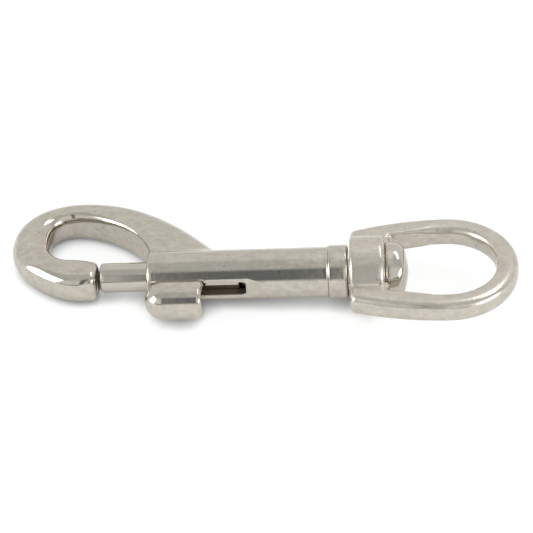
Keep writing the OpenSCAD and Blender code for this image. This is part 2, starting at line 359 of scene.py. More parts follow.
@dataclass(frozen=True)
class SnapHookSizes:
    """Driving sizes that the pieces share, in millimetres, and the places that follow from them.

    Attributes:
        barrel_r: Radius of the barrel.
        barrel_l: Length of the barrel from its front face to the collar.
        flat_y: Distance of the flat round the slot from the axis.
        collar_r: Radius of the collar.
        collar_l: Length of the collar.
        hook_l: Reach of the bow in front of the barrel.
        tip_share: Distance of the tip's end face from the barrel, as a share of that.
        bolt_r: Radius of the bolt.
        bolt_play: Radial play of the bolt in the bore.
        tip_gap: Gap between the closed bolt and the tip.
        open_gap: How far the open bolt's front still stands out of the barrel.
        bolt_end: How far before the slot's rear end the closed bolt ends.
        knob_l: Length of the knob.
        knob_lead: Place of the stem behind the barrel's front, as a share of that.
        knob_tail: Length of the knob behind the stem's middle, as a share of it.
        stem_r: Radius of the knob's stem.
        slide_gap: Clearance of the stem in the slot and of the knob over the barrel.
        plug_r: Radius of the pin's plug in the collar.
        plug_l: Length of the plug.
        seam: Gap between collar and hub.
        hub_r: Radius of the eye's hub.
        hub_l: Length of the hub.
        hub_back: Place of the hub's rear face.
    """

    barrel_r: float = 5.0
    barrel_l: float = 36.0
    flat_y: float = 4.35
    collar_r: float = 5.35
    collar_l: float = 3.9
    hook_l: float = 29.0
    tip_share: float = 0.352
    bolt_r: float = 2.95
    bolt_play: float = 0.05
    tip_gap: float = 0.45
    open_gap: float = 0.1
    bolt_end: float = 1.3
    knob_l: float = 11.6
    knob_lead: float = 0.728
    knob_tail: float = 0.25
    stem_r: float = 1.45
    slide_gap: float = 0.08
    plug_r: float = 3.8
    plug_l: float = 4.4
    seam: float = 0.35
    hub_r: float = 7.0
    hub_l: float = 6.95
    hub_back: float = -12.3

    @property
    def hub_front(self) -> float:
        """Front face of the eye's hub."""
        return self.hub_back - self.hub_l

    @property
    def collar_back(self) -> float:
        """Rear face of the collar, in front of the seam."""
        return self.hub_front - self.seam

    @property
    def collar_front(self) -> float:
        """Front edge of the collar."""
        return self.collar_back - self.collar_l

    @property
    def barrel_front(self) -> float:
        """Front face of the barrel."""
        return self.collar_front - self.barrel_l

    @property
    def plug_front(self) -> float:
        """Front face of the pin's plug, on which the spring rests."""
        return self.collar_back - self.plug_l

    @property
    def bore_r(self) -> float:
        """Radius of the bore, in which the bolt has its play."""
        return self.bolt_r + self.bolt_play

    @property
    def tip_x(self) -> float:
        """End face of the hook's tip."""
        return self.barrel_front - self.tip_share * self.hook_l

    @property
    def bolt_front(self) -> float:
        """Front of the closed bolt."""
        return self.tip_x + self.tip_gap

    @property
    def travel(self) -> float:
        """Way of the bolt until its front is nearly level with the barrel's."""
        return self.barrel_front - self.bolt_front - self.open_gap

    @property
    def stem_x(self) -> float:
        """Middle of the knob's stem."""
        return self.barrel_front + self.knob_lead * self.knob_l

    @property
    def slot_half(self) -> float:
        """Half width of the slot, in which the stem has its play."""
        return self.stem_r + self.slide_gap

    @property
    def slot_front(self) -> float:
        """Front end of the slot."""
        return self.stem_x - self.slot_half

    @property
    def slot_rear(self) -> float:
        """Rear end of the slot, which leaves the stem its travel."""
        return self.stem_x + self.slot_half + self.travel

    @property
    def bolt_rear(self) -> float:
        """Rear end of the closed bolt, seen in the slot's end."""
        return self.slot_rear - self.bolt_end


@dataclass
class HookBody:
    """The casting: bow, web, slotted barrel and collar.

    Attributes:
        sizes: Sizes that the pieces share.
        hook_rise: Height of the spine over the axis.
        half_t: Half thickness of the bow.
        tip_round: Rounding of the tip's end face.
        tip_draw_deg: Angle at which the end face's quarter round leaves the bow's side.
        outer_share: Share of the bow's width that its outer side takes.
        outer_n: Squareness of the outer side; 2 is an ellipse.
        tip_outer_n: The same at the tip.
        root_lift: Height of the web's buried root over the bore.
        root_reach: How far the root goes back in the barrel's wall, as a share of hook_l.
        fillet_ball: Radius of the fillet between web and barrel.
        ring_points: Points round a ring of the bow.
        bow_rings: Rings of the bow.
        edge: Rounding of the slot's edges.
        bore_rim: Rounding of the bore's front edge.
        front_round: Rounding of the barrel's front edge.
        collar_step: Fillet in front of the collar.
        collar_front_round: Rounding of the collar's front edge.
        collar_back_round: Rounding of the collar's rear edge.
        corner_share: Rounding of the slot's rear corners, as a share of its width.
        flat_rise: How far the flat rises where it runs out behind the slot.
        flat_out: Where that starts, behind the slot's end.
        flat_out_l: Length of the run-out.
        flat_skim: How much the flat is cut shallower than its level.
        flat_soft: Rounding of the flat's edge.
        even_edge: Angle at which the closer columns by the slot end in the bore.
        slot_band: Place round the barrel, from 0 to 1, at which they end.
        plan: Plan of the bow from the tip round to the web, outer edge and inner edge, as
            shares of hook_l forward of the barrel and of hook_rise over its axis.
    """

    sizes: SnapHookSizes
    hook_rise: float = 21.9
    half_t: float = 3.5
    tip_round: float = 1.15
    tip_draw_deg: float = 6.0
    outer_share: float = 0.62
    outer_n: float = 2.4
    tip_outer_n: float = 3.4
    root_lift: float = 0.45
    root_reach: float = 0.53
    fillet_ball: float = 4.6
    ring_points: int = 120
    bow_rings: int = 260
    edge: float = 0.2
    bore_rim: float = 0.2
    front_round: float = 0.7
    collar_step: float = 0.35
    collar_front_round: float = 0.42
    collar_back_round: float = 0.55
    corner_share: float = 0.2
    flat_rise: float = 0.65
    flat_out: float = 0.6
    flat_out_l: float = 3.5
    flat_skim: float = 0.05
    flat_soft: float = 0.06
    even_edge: float = 0.8
    slot_band: float = 0.12
    plan: tuple[tuple[tuple[float, float], tuple[float, float]], ...] = (
        ((0.358, -0.185), (0.352, 0.075)),
        ((0.478, -0.208), (0.464, 0.132)),
        ((0.633, -0.160), (0.602, 0.155)),
        ((0.790, -0.034), (0.686, 0.233)),
        ((0.953, 0.200), (0.720, 0.344)),
        ((0.998, 0.457), (0.730, 0.480)),
        ((0.960, 0.685), (0.722, 0.608)),
        ((0.845, 0.865), (0.666, 0.700)),
        ((0.607, 0.984), (0.560, 0.740)),
        ((0.390, 0.986), (0.429, 0.710)),
        ((0.176, 0.918), (0.274, 0.621)),
        ((-0.038, 0.769), (0.140, 0.489)),
        ((-0.214, 0.594), (0.057, 0.354)),
        ((-0.362, 0.402), (0.010, 0.224)),
    )

    def plan_curves(self, at: np.ndarray) -> tuple[np.ndarray, np.ndarray]:
        """Outer and inner plan points of the bow at places from 0 at the tip to 14 at the root.

        Args:
            at: Places along the bow.

        Returns:
            The outer points and the inner points.
        """
        s = self.sizes
        scale = np.array([-s.hook_l, self.hook_rise])
        rows = np.array(self.plan) * scale + np.array([s.barrel_front, 0.0])
        root_y = s.bore_r + self.root_lift
        root = [[s.barrel_front + self.root_reach * s.hook_l, root_y], [s.barrel_front + 0.1, root_y]]
        rows = np.concatenate([rows, [root]])
        values = rows.reshape(len(rows), 4)
        middle = rows.mean(axis=1)
        knots = np.concatenate([[0.0], np.cumsum(np.linalg.norm(np.diff(middle, axis=0), axis=1))])
        places = np.interp(at, np.arange(len(rows)), knots)
        curve = spline(knots, values, places)
        return curve[:, :2], curve[:, 2:]

    def inner_squareness(self, at: np.ndarray) -> np.ndarray:
        """The inner edge is round at the tip, rounder at the front and sharpens along the web.

        Args:
            at: Places along the bow.

        Returns:
            The squareness at each of them.
        """
        places = [0.0, 3.0, 5.0, 7.0, 8.0, 9.5, 11.0, 14.0]
        squareness = [3.0, 3.0, 2.3, 2.3, 2.8, 4.2, 7.5, 9.0]
        return np.interp(at, places, squareness)

    def bow(self) -> np.ndarray:
        """Rings of the bow from the tip's end face to the root in the barrel's wall.

        The end face is the first ring moved forward by r sin a and drawn in by
        r (1 - cos a), for a quarter turn of a.

        Returns:
            Grid of points, one row for each ring.
        """
        theta = corner_angles(self.ring_points)
        last = len(self.plan)
        near, _ = self.plan_curves(np.array([0.0, 1.0]))
        first = self.tip_round / np.linalg.norm(near[1] - near[0])
        at = np.linspace(first, last, self.bow_rings)
        outer, inner = self.plan_curves(at)
        in_n = self.inner_squareness(at)
        half_t = np.full(len(at), self.half_t)
        a = np.radians(np.linspace(90.0, self.tip_draw_deg, 14))
        draw = self.tip_round * (1 - np.cos(a))[:, None]
        inward = (inner[0] - outer[0]) / np.linalg.norm(inner[0] - outer[0])
        forward = np.stack([self.tip_round * np.sin(a), np.zeros_like(a)], axis=-1)
        outer = np.concatenate([outer[:1] + draw * inward + forward, outer])
        inner = np.concatenate([inner[:1] - draw * inward + forward, inner])
        half_t = np.concatenate([self.half_t - draw[:, 0], half_t])
        in_n = np.concatenate([np.full(len(a), in_n[0]), in_n])
        out_n = np.interp(at, [0.0, 1.5, 4.0], [self.tip_outer_n, 3.0, self.outer_n])
        out_n = np.concatenate([np.full(len(a), self.tip_outer_n), out_n])
        return bar_sections(outer, inner, half_t, self.outer_share, out_n, in_n, theta)

    def web_fillet(self, bow: np.ndarray) -> np.ndarray:
        """Fillet where the web runs into the barrel, fading out at the barrel's front.

        Args:
            bow: Rings of the bow, tip first.

        Returns:
            Rings of the fillet, from one side of the barrel's front round to the other.
        """
        half = bow[len(bow) // 2:]
        theta = corner_angles(self.ring_points)
        front = np.abs(np.pi - theta)
        ball = 0.15 + self.fillet_ball * smooth_step(front, 0.8, 1.6)
        strip = ball_fillet(half, self.sizes.barrel_r, ball)
        keep = strip[:, :, 0].min(axis=1) > self.sizes.barrel_front + 0.25
        middle = int(np.argmax(~keep)) if (~keep).any() else 0
        order = np.roll(np.arange(len(strip)), -middle)
        return strip[order][keep[order]]

    def slot_outline(self) -> np.ndarray:
        """Half of the slot's outline from its round front to the middle of its rear end.

        Returns:
            Rows of place along the axis, half width and the outward direction's two parts.
        """
        s = self.sizes
        r = s.slot_half
        corner = 2 * r * self.corner_share
        a = np.radians(np.linspace(0.0, 90.0, 13))
        round_x = s.slot_front + r - r * np.cos(a)
        front = np.stack([round_x, r * np.sin(a), -np.cos(a), np.sin(a)], axis=-1)
        x = np.linspace(s.slot_front + r, s.slot_rear - corner, 22)[1:-1]
        side = np.stack([x, np.full_like(x, r), np.zeros_like(x), np.ones_like(x)], axis=-1)
        b = np.radians(np.linspace(90.0, 0.0, 8))
        bend_x = s.slot_rear - corner + corner * np.cos(b)
        bend_z = r - corner + corner * np.sin(b)
        bend = np.stack([bend_x, bend_z, np.cos(b), np.sin(b)], axis=-1)
        z = np.linspace(r - corner, 0.0, 6)[1:]
        end = np.stack([np.full_like(z, s.slot_rear), z, np.ones_like(z), np.zeros_like(z)], axis=-1)
        return np.concatenate([front, side, bend, end])

    def flat_level(self, x: np.ndarray) -> np.ndarray:
        """Distance of the flat from the axis, which rises out of the barrel behind the slot."""
        out = ramp_up(x - self.sizes.slot_rear - self.flat_out, self.flat_out_l)
        return self.sizes.flat_y + self.flat_rise * out + self.flat_skim

    def wall_point(self, x: np.ndarray, radius: np.ndarray, phi: np.ndarray) -> np.ndarray:
        """Point of the barrel's outside: a circle cut by the flat, whose edge is a little rounded.

        The cut is the smaller of the two distances, less a parabola where they are close.

        Args:
            x: Places along the axis.
            radius: Radius of the turned shape there.
            phi: Angle from the slot's middle, which faces -Y, over the top.

        Returns:
            The points.
        """
        s = self.sizes
        out = radius * np.cos(phi)
        gone = s.slot_rear + self.flat_out + self.flat_out_l + 0.1
        flat = np.where(x > gone, s.barrel_r + 2.0, self.flat_level(x))
        d = np.clip((self.flat_soft - np.abs(out - flat)) / self.flat_soft, 0.0, None)
        cut = np.minimum(out, flat) - d * d * self.flat_soft / 4
        return np.stack([x, -cut, radius * np.sin(phi)], axis=-1)

    def columns(self) -> np.ndarray:
        """Places of the columns round the barrel, closer together by the slot.

        Returns:
            Places from 0 at the slot's upper edge round to 1 at its lower edge.
        """
        half = np.concatenate([
            np.linspace(0.0, self.slot_band, 12)[:-1],
            np.linspace(self.slot_band, 0.5, 54),
        ])
        return np.concatenate([half, 1.0 - half[-2::-1]])

    def column_angles(self, opening: np.ndarray, bend: np.ndarray) -> np.ndarray:
        """Angles of the columns: the first end at the flat's edge, the rest go round evenly.

        Args:
            opening: Angle of the slot's edge in each row, 0 away from the slot.
            bend: Angle at which the band by the slot ends in each row.

        Returns:
            Angles, one row for each row of the barrel.
        """
        v = self.columns()
        near = np.minimum(v, 1.0 - v)[None, :]
        low = opening[:, None] + (bend - opening)[:, None] * near / self.slot_band
        share = (near - self.slot_band) / (0.5 - self.slot_band)
        high = bend[:, None] + (np.pi - bend)[:, None] * share
        phi = np.where(near < self.slot_band, low, high)
        return np.where(v[None, :] > 0.5, 2 * np.pi - phi, phi)

    def flat_edge(self, x: np.ndarray) -> np.ndarray:
        """Angle at which the flat meets the round, held above a few degrees."""
        cosine = np.clip(self.flat_level(x) / self.sizes.barrel_r, -1.0, 1.0)
        return np.maximum(np.arccos(cosine), 0.16)

    def round_rows(
        self,
        x: np.ndarray,
        places: np.ndarray,
        radius: np.ndarray,
        opening: np.ndarray,
        outside: bool,
    ) -> np.ndarray:
        """Rows of the barrel's outside or of its bore.

        Args:
            x: Place of each row along the axis, at its first column.
            places: Place of every point along the axis.
            radius: Radius of each row.
            opening: Angle of the slot's edge in each row, 0 away from the slot.
            outside: Whether the rows lie on the outside, with its flat.

        Returns:
            Grid of points.
        """
        bend = self.flat_edge(x) if outside else np.full_like(x, self.even_edge)
        phi = self.column_angles(opening, bend)
        radii = np.broadcast_to(radius[:, None], phi.shape)
        if outside:
            return self.wall_point(places, radii, phi)
        return np.stack([places, -radii * np.cos(phi), radii * np.sin(phi)], axis=-1)

    def plain_rows(self, profile: np.ndarray, outside: bool) -> np.ndarray:
        """Rows away from the slot, whole circles whose first and last columns coincide.

        Args:
            profile: Rows of place along the axis and radius.
            outside: Whether they lie on the outside.

        Returns:
            Grid of points.
        """
        x, radius = profile[:, 0], profile[:, 1]
        places = np.repeat(profile[:, :1], len(self.columns()), axis=1)
        return self.round_rows(x, places, radius, np.zeros_like(x), outside)

    def slot_rows(self, edge: np.ndarray, radius: float, outside: bool) -> np.ndarray:
        """Rows along the slot: the first column lies on its edge, the others even out.

        Args:
            edge: Rows of place along the axis and half width of the slot.
            radius: Radius of the surface.
            outside: Whether the rows lie on the outside.

        Returns:
            Grid of points.
        """
        x = edge[:, 0]
        opening = np.arcsin(np.clip(edge[:, 1] / radius, 0.0, 1.0))
        v = self.columns()
        away = smooth_step(np.minimum(v, 1.0 - v)[None, :], 0.0, 0.3)
        even = np.linspace(x[0], x[-1], len(x))
        places = x[:, None] * (1 - away) + even[:, None] * away
        return self.round_rows(x, places, np.full_like(x, radius), opening, outside)

    def slot_wall(self, outline: np.ndarray, top: np.ndarray, low: np.ndarray, sign: float) -> Shell:
        """One wall of the slot: a rounded lip, then straight down to the bore.

        The lip stands out by e (1 - sin q) at a depth of e (1 - cos q), for a quarter turn of q.

        Args:
            outline: The slot's outline, as slot_outline gives it.
            top: The outside's points along the slot.
            low: The bore's points along it.
            sign: 1 for the upper wall, -1 for the lower one.

        Returns:
            The wall, from the outside to the bore.
        """
        q = np.radians(np.linspace(0.0, 90.0, 5))[1:]
        shift = self.edge * (1 - np.sin(q))
        x = outline[:, :1] + outline[:, 2:3] * shift
        z = sign * (outline[:, 1:2] + outline[:, 3:] * shift)
        y = top[:, 1:2] + self.edge * (1 - np.cos(q))
        lip = np.stack([x, y, z], axis=-1)
        t = np.linspace(0.0, 1.0, 6)[1:, None]
        drop = lip[:, -1:, :] * (1 - t) + low[:, None, :] * t
        return grid_shell(np.concatenate([top[:, None], lip, drop], axis=1))

    def profile(self) -> tuple[np.ndarray, np.ndarray, np.ndarray, np.ndarray]:
        """Profile of barrel and collar, from the bore's front edge outside and back through the bore.

        Returns:
            The outside before the slot, the outside behind it, the inside behind it and
            the bore before it.
        """
        s = self.sizes
        rim, front, step = self.bore_rim, self.front_round, self.collar_step
        ease, end = self.collar_front_round, self.collar_back_round
        lead = np.concatenate([
            arc(s.barrel_front + rim, s.bore_r + rim, rim, 270, 180, 5),
            run(s.barrel_front, s.bore_r + rim, s.barrel_front, s.barrel_r - front, 4),
            arc(s.barrel_front + front, s.barrel_r - front, front, 180, 90, 10),
            run(s.barrel_front + front, s.barrel_r, s.slot_front - self.edge, s.barrel_r, 14),
        ])
        tail = np.concatenate([
            run(s.slot_rear + self.edge, s.barrel_r, s.collar_front - 0.5, s.barrel_r, 44),
            arc(s.collar_front - 0.3, s.barrel_r + step, step, 270, 330, 6),
            arc(s.collar_front + ease, s.collar_r - ease, ease, 160, 90, 8),
            run(s.collar_front + ease, s.collar_r, s.collar_back - end, s.collar_r, 8),
            arc(s.collar_back - end, s.collar_r - end, end, 90, 0, 9),
            run(s.collar_back, s.collar_r - end, s.collar_back, s.plug_r, 2),
        ])
        inside = np.concatenate([
            [[s.collar_back, s.plug_r], [s.plug_front, s.plug_r], [s.plug_front, s.bore_r]],
            run(s.plug_front, s.bore_r, s.slot_rear, s.bore_r, 10),
        ])
        bore = run(s.slot_front, s.bore_r, s.barrel_front + rim, s.bore_r, 6)
        return lead, tail, inside, bore

    def barrel(self) -> list[Shell]:
        """Barrel and collar: a profile carried round the axis, opened along the slot.

        Rows follow the profile outside from front to rear and back through the bore. In
        the slot's rows the columns run from one edge of the slot round to the other.

        Returns:
            The barrel and the slot's two walls, which join its outside to the bore.
        """
        lead, tail, inside, bore = self.profile()
        outline = self.slot_outline()
        outer = self.slot_rows(outline[:, :2] + self.edge * outline[:, 2:], self.sizes.barrel_r, True)
        inner = self.slot_rows(outline[:, :2], self.sizes.bore_r, False)
        rows = np.concatenate([
            self.plain_rows(lead, True),
            outer,
            self.plain_rows(tail, True),
            self.plain_rows(inside, False),
            inner[::-1],
            self.plain_rows(bore, False),
        ])
        upper = self.slot_wall(outline, outer[:, 0], inner[:, 0], 1.0)
        lower = self.slot_wall(outline, outer[:, -1], inner[:, -1], -1.0)
        return [grid_shell(rows, wrap_rows=True), upper, lower]

    def build(self) -> bpy.types.Object:
        """Makes the casting of barrel, bow and the fillet between them.

        Returns:
            The piece.
        """
        bow = self.bow()
        shells = self.barrel() + closed_tube(bow) + closed_tube(self.web_fillet(bow))
        return mesh_piece("HookCasting", shells)


@dataclass
class Bolt:
    """The turned plunger that closes the hook.

    Attributes:
        sizes: Sizes that the pieces share.
        front_round: Rounding of the front edge.
        rear_round: Rounding of the rear edge.
        ring_points: Points round a ring.
    """

    sizes: SnapHookSizes
    front_round: float = 0.7
    rear_round: float = 0.4
    ring_points: int = 144

    def build(self) -> bpy.types.Object:
        """Turns the bolt, with a quarter round at each end.

        Returns:
            The piece.
        """
        s = self.sizes
        r, f, b = s.bolt_r, self.front_round, self.rear_round
        front, rear = s.bolt_front, s.bolt_rear
        profile = np.concatenate([
            [[front, 0.0]],
            run(front, 0.0, front, r - f, 6),
            arc(front + f, r - f, f, 180, 90, 12),
            run(front + f, r, rear - b, r, 60),
            arc(rear - b, r - b, b, 90, 0, 6),
            run(rear, r - b, rear, 0.0, 2),
        ])
        return mesh_piece("Bolt", closed_tube(turned(profile, self.ring_points)))


@dataclass
class ThumbKnob:
    """The knob on the bolt, with its stem through the slot.

    Attributes:
        sizes: Sizes that the pieces share.
        out: How far the knob stands out from the axis.
        inner_y: How near to the axis its section would reach, were it not hollowed.
        half_h: Half its height.
        squareness: Squareness of its section; 2 is an ellipse.
        front_round: Rounding of its front end.
        rear_round: Rounding of its rear end.
        stem_in: Distance from the axis at which the stem starts, inside the bolt.
        stem_out: Distance at which it ends, inside the knob.
        ring_points: Points round a ring of the knob.
        stem_points: Points round a ring of the stem.
    """

    sizes: SnapHookSizes
    out: float = 11.0
    inner_y: float = 3.8
    half_h: float = 3.6
    squareness: float = 2.5
    front_round: float = 3.7
    rear_round: float = 1.0
    stem_in: float = 1.475
    stem_out: float = 6.0
    ring_points: int = 144
    stem_points: int = 64

    def block(self) -> np.ndarray:
        """Rings of the knob along X, drawn in at each end by a quarter round.

        A ring is a rounded square whose side towards the barrel is moved out to the
        barrel's radius plus the clearance.

        Returns:
            Grid of points, one row for each ring.
        """
        s = self.sizes
        rear = s.stem_x + s.knob_tail * s.knob_l
        front = rear - s.knob_l
        theta = corner_angles(self.ring_points, 0.0)
        f = np.radians(np.linspace(86.0, 0.0, 30))
        b = np.radians(np.linspace(4.0, 90.0, 18))
        middle = np.linspace(front + self.front_round, rear - self.rear_round, 26)[1:-1]
        x = np.concatenate([
            front + self.front_round * (1 - np.sin(f)),
            middle,
            rear - self.rear_round * (1 - np.sin(b)),
        ])
        draw = np.concatenate([
            self.front_round * (1 - np.cos(f)),
            np.zeros_like(middle),
            self.rear_round * (1 - np.cos(b)),
        ])
        half_w = (self.out - self.inner_y) / 2
        unit = squircle(theta, np.array(self.squareness))
        y = (half_w - draw)[:, None] * unit[None, :, 0] - (self.out + self.inner_y) / 2
        z = (self.half_h - draw)[:, None] * unit[None, :, 1]
        clear = s.barrel_r + s.slide_gap
        y = np.minimum(y, -np.sqrt(np.clip(clear**2 - z**2, 0.0, None)))
        return np.stack([np.repeat(x[:, None], len(theta), axis=1), y, z], axis=-1)

    def stem(self) -> np.ndarray:
        """Rings of the round stem, from inside the bolt to inside the knob.

        Returns:
            Grid of points, one row for each ring.
        """
        s = self.sizes
        a = np.linspace(0.0, 2 * np.pi, self.stem_points, endpoint=False)
        y = np.linspace(-self.stem_in, -self.stem_out, 6)[:, None]
        ring = s.stem_r * np.stack([np.cos(a), np.zeros_like(a), np.sin(a)], axis=-1)
        middle = np.concatenate([np.full_like(y, s.stem_x), y, np.zeros_like(y)], axis=1)
        return middle[:, None] + ring

    def build(self) -> bpy.types.Object:
        """Makes the knob and its stem as one piece, whose end rims stay crisp."""
        return mesh_piece("ThumbKnob", closed_tube(self.block()) + closed_tube(self.stem()), 50.0)


@dataclass
class Spring:
    """Compression spring behind the bolt, with closed ends.

    Attributes:
        sizes: Sizes that the pieces share.
        outer_d: Outer diameter of the coils.
        wire_d: Diameter of the wire.
        turns: Number of turns.
        turn_points: Rings of wire in a turn.
        wire_points: Points round a ring of wire.
        closed_pitch: Pitch of the first and last turn, in wire diameters.
        stroke: Way of the bolt; not used.
    """

    sizes: SnapHookSizes
    outer_d: float = 5.2
    wire_d: float = 0.7
    turns: int = 8
    turn_points: int = 44
    wire_points: int = 14
    closed_pitch: float = 1.04
    stroke: float = 9.6

    def follow(self, piece: bpy.types.Object) -> None:
        """Gives the spring's piece a mesh of its own.

        Args:
            piece: The spring's piece.
        """
        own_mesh(piece)

    def build(self) -> bpy.types.Object:
        """Wire carried along a helix whose first and last turns lie close.

        Returns:
            The piece.
        """
        s = self.sizes
        length = s.plug_front - s.bolt_rear - self.wire_d
        u = np.linspace(0.0, self.turns, self.turns * self.turn_points + 1)
        closed = self.wire_d * self.closed_pitch
        rise = np.interp(u, [0, 1, self.turns - 1, self.turns], [0, closed, length - closed, length])
        a = 2 * np.pi * u[:, None]
        t = np.linspace(0.0, 2 * np.pi, self.wire_points, endpoint=False)[None, :]
        w = self.wire_d / 2
        q = self.outer_d / 2 - w + w * np.cos(t)
        x = s.bolt_rear + w + rise[:, None] + w * np.sin(t)
        return mesh_piece("Spring", closed_tube(np.stack([x, q * np.cos(a), q * np.sin(a)], axis=-1)))


@dataclass
class SwivelPin:
    """Plug, journal and riveted head, turned from one bar.

    Attributes:
        sizes: Sizes that the pieces share.
        head_r: Radius of the head.
        head_l: Height of the head.
        head_rim: Rounding of the head's front edge.
        head_gap: Gap between hub and head.
        journal_r: Radius of the journal.
        ring_points: Points round a ring.
        dome: Dome from its rim to its crown: way back from the crown, share of the radius.
    """

    sizes: SnapHookSizes
    head_r: float = 5.55
    head_l: float = 4.5
    head_rim: float = 0.5
    head_gap: float = 0.1
    journal_r: float = 2.5
    ring_points: int = 144
    dome: tuple[tuple[float, float], ...] = (
        (4.0, 1.0), (3.3, 1.0), (2.6, 0.992), (1.95, 0.965), (1.4, 0.912), (0.98, 0.835),
        (0.68, 0.725), (0.42, 0.56), (0.2, 0.36), (0.06, 0.17), (0.0, 0.0),
    )

    def build(self) -> bpy.types.Object:
        """Turns the pin: a plug, the journal and a head whose dome is a curve through a few points.

        Returns:
            The piece.
        """
        s = self.sizes
        front = s.hub_back + self.head_gap
        back = front + self.head_l
        r, rim = self.head_r, self.head_rim
        knots = np.array(self.dome)
        at = np.linspace(0.0, len(knots) - 1.0, 60)
        dome = spline(np.arange(len(knots), dtype=float), knots, at) * [-1.0, r] + [back, 0.0]
        profile = np.concatenate([
            run(s.plug_front, 0.0, s.plug_front, s.plug_r, 2),
            [[s.plug_front, s.plug_r], [s.collar_back, s.plug_r], [s.collar_back, self.journal_r]],
            run(s.collar_back, self.journal_r, front, self.journal_r, 4),
            [[front, self.journal_r]],
            run(front, self.journal_r, front, r - rim, 3),
            arc(front + rim, r - rim, rim, 180, 90, 8),
            dome[1:],
        ])
        return mesh_piece("SwivelPin", closed_tube(turned(profile, self.ring_points)))


@dataclass
class SwivelEye:
    """Hub, base and bow of the eye, one casting.

    Attributes:
        sizes: Sizes that the pieces share.
        reach: Outer half axis of the round end along X.
        half_w: Outer half axis across.
        bar_w: Width of the bar.
        half_t: Half thickness of the bar.
        squareness: Squareness of the bar's section; 2 is an ellipse.
        leg_draw: How far the legs draw in towards the hub.
        leg_round: Rounding of the legs' ends.
        base_half_t: Half thickness of the base between the legs.
        base_n: Squareness of the base's section.
        base_back: Rear face of the base beside the pin's head.
        base_fillet: Fillet between base and leg.
        base_in: How far the base runs into each leg.
        recess_r: Half width of the recess round the pin's head.
        recess_step: Width of the step out of the recess.
        inner_n: Squareness of the legs' inner side by the base.
        hub_ball: Fillet between base and hub.
        front_round: Rounding of the hub's front edge.
        rear_round: Rounding of the hub's rear edge.
        journal_r: Radius of the hub's bore.
        ring_points: Points round a ring of bow or base.
        hub_points: Points round the hub.
    """

    sizes: SnapHookSizes
    reach: float = 14.03
    half_w: float = 13.83
    bar_w: float = 4.35
    half_t: float = 2.35
    squareness: float = 2.9
    leg_draw: float = 3.2
    leg_round: float = 1.4
    base_half_t: float = 2.345
    base_n: float = 7.0
    base_back: float = -11.4
    base_fillet: float = 1.0
    base_in: float = 1.15
    recess_r: float = 5.9
    recess_step: float = 0.5
    inner_n: float = 8.0
    hub_ball: float = 1.3
    front_round: float = 0.7
    rear_round: float = 1.1
    journal_r: float = 2.55
    ring_points: int = 96
    hub_points: int = 160

    def leg_edge(self, x: np.ndarray, half_w: float) -> np.ndarray:
        """Distance of a leg's edge from the axis, drawn in by the square of its way to the hub."""
        return half_w - self.leg_draw * (np.minimum(x, 0.0) / self.sizes.hub_front) ** 2

    def bow(self) -> np.ndarray:
        """Rings of the bow from one leg's end round to the other's.

        Half an ellipse, then legs along leg_edge. Each end is the last ring moved on by
        r sin a and drawn in by r (1 - cos a), for a quarter turn of a.

        Returns:
            Grid of points, one row for each ring.
        """
        in_w = self.half_w - self.bar_w
        in_r = self.reach - self.bar_w
        a = np.linspace(0.0, np.pi / 2, 90)
        x = np.linspace(0.0, self.sizes.hub_front + self.leg_round, 90)[1:]
        c = np.linspace(0.05, 1.5, 14)
        draw = np.concatenate([np.zeros(len(a) + len(x)), self.leg_round * (1 - np.cos(c))])
        on = np.concatenate([x, x[-1] - self.leg_round * np.sin(c)])
        held = np.maximum(on, x[-1])
        outer = np.stack([
            np.concatenate([self.reach * np.cos(a), on]),
            np.concatenate([self.half_w * np.sin(a), self.leg_edge(held, self.half_w)]) - draw,
        ], axis=-1)
        inner = np.stack([
            np.concatenate([in_r * np.cos(a), on]),
            np.concatenate([in_w * np.sin(a), self.leg_edge(held, in_w)]) + draw,
        ], axis=-1)
        n = np.full(2 * len(outer) - 1, self.squareness)
        leg_n = np.interp(on, [-9.0, -3.0], [self.inner_n, self.squareness])
        inner_n = np.concatenate([np.full(len(a), self.squareness), leg_n])
        flip = np.array([1.0, -1.0])
        return bar_sections(
            np.concatenate([outer[:0:-1] * flip, outer]),
            np.concatenate([inner[:0:-1] * flip, inner]),
            self.half_t - np.concatenate([draw[:0:-1], draw]),
            0.5, n, np.concatenate([inner_n[:0:-1], inner_n]), corner_angles(self.ring_points),
        )

    def base(self) -> np.ndarray:
        """Rings of the base, along Y from inside one leg to inside the other.

        Its rear face stands back by a step from the recess round the pin's head, and
        meets each leg in a quarter round.

        Returns:
            Grid of points, one row for each ring.
        """
        s = self.sizes
        wall = float(self.leg_edge(np.array(self.base_back), self.half_w - self.bar_w))
        recess_end = self.recess_r + self.recess_step
        half = np.concatenate([
            np.linspace(0.0, self.recess_r, 12),
            np.linspace(self.recess_r, recess_end, 9)[1:],
            np.linspace(recess_end, wall - self.base_fillet, 6)[1:],
            wall - self.base_fillet + self.base_fillet * np.sin(np.linspace(0.0, 1.5, 12))[1:],
            [wall + self.base_in],
        ])
        y = np.concatenate([-half[:0:-1], half])
        away = np.abs(y)
        rise = np.clip((away - wall + self.base_fillet) / self.base_fillet, 0.0, 1.0)
        back = self.base_back + self.base_fillet * (1 - np.sqrt(1 - rise**2))
        deep = self.base_back - s.hub_back + 0.2
        back -= deep * (1 - smooth_step(away, self.recess_r, recess_end))
        count = len(y)
        n = np.full(count, self.base_n)
        return bar_sections(
            np.stack([np.full(count, s.hub_front + 0.3), y], axis=-1),
            np.stack([back, y], axis=-1),
            np.full(count, self.base_half_t),
            0.5, n, n, corner_angles(self.ring_points, 0.12),
        )

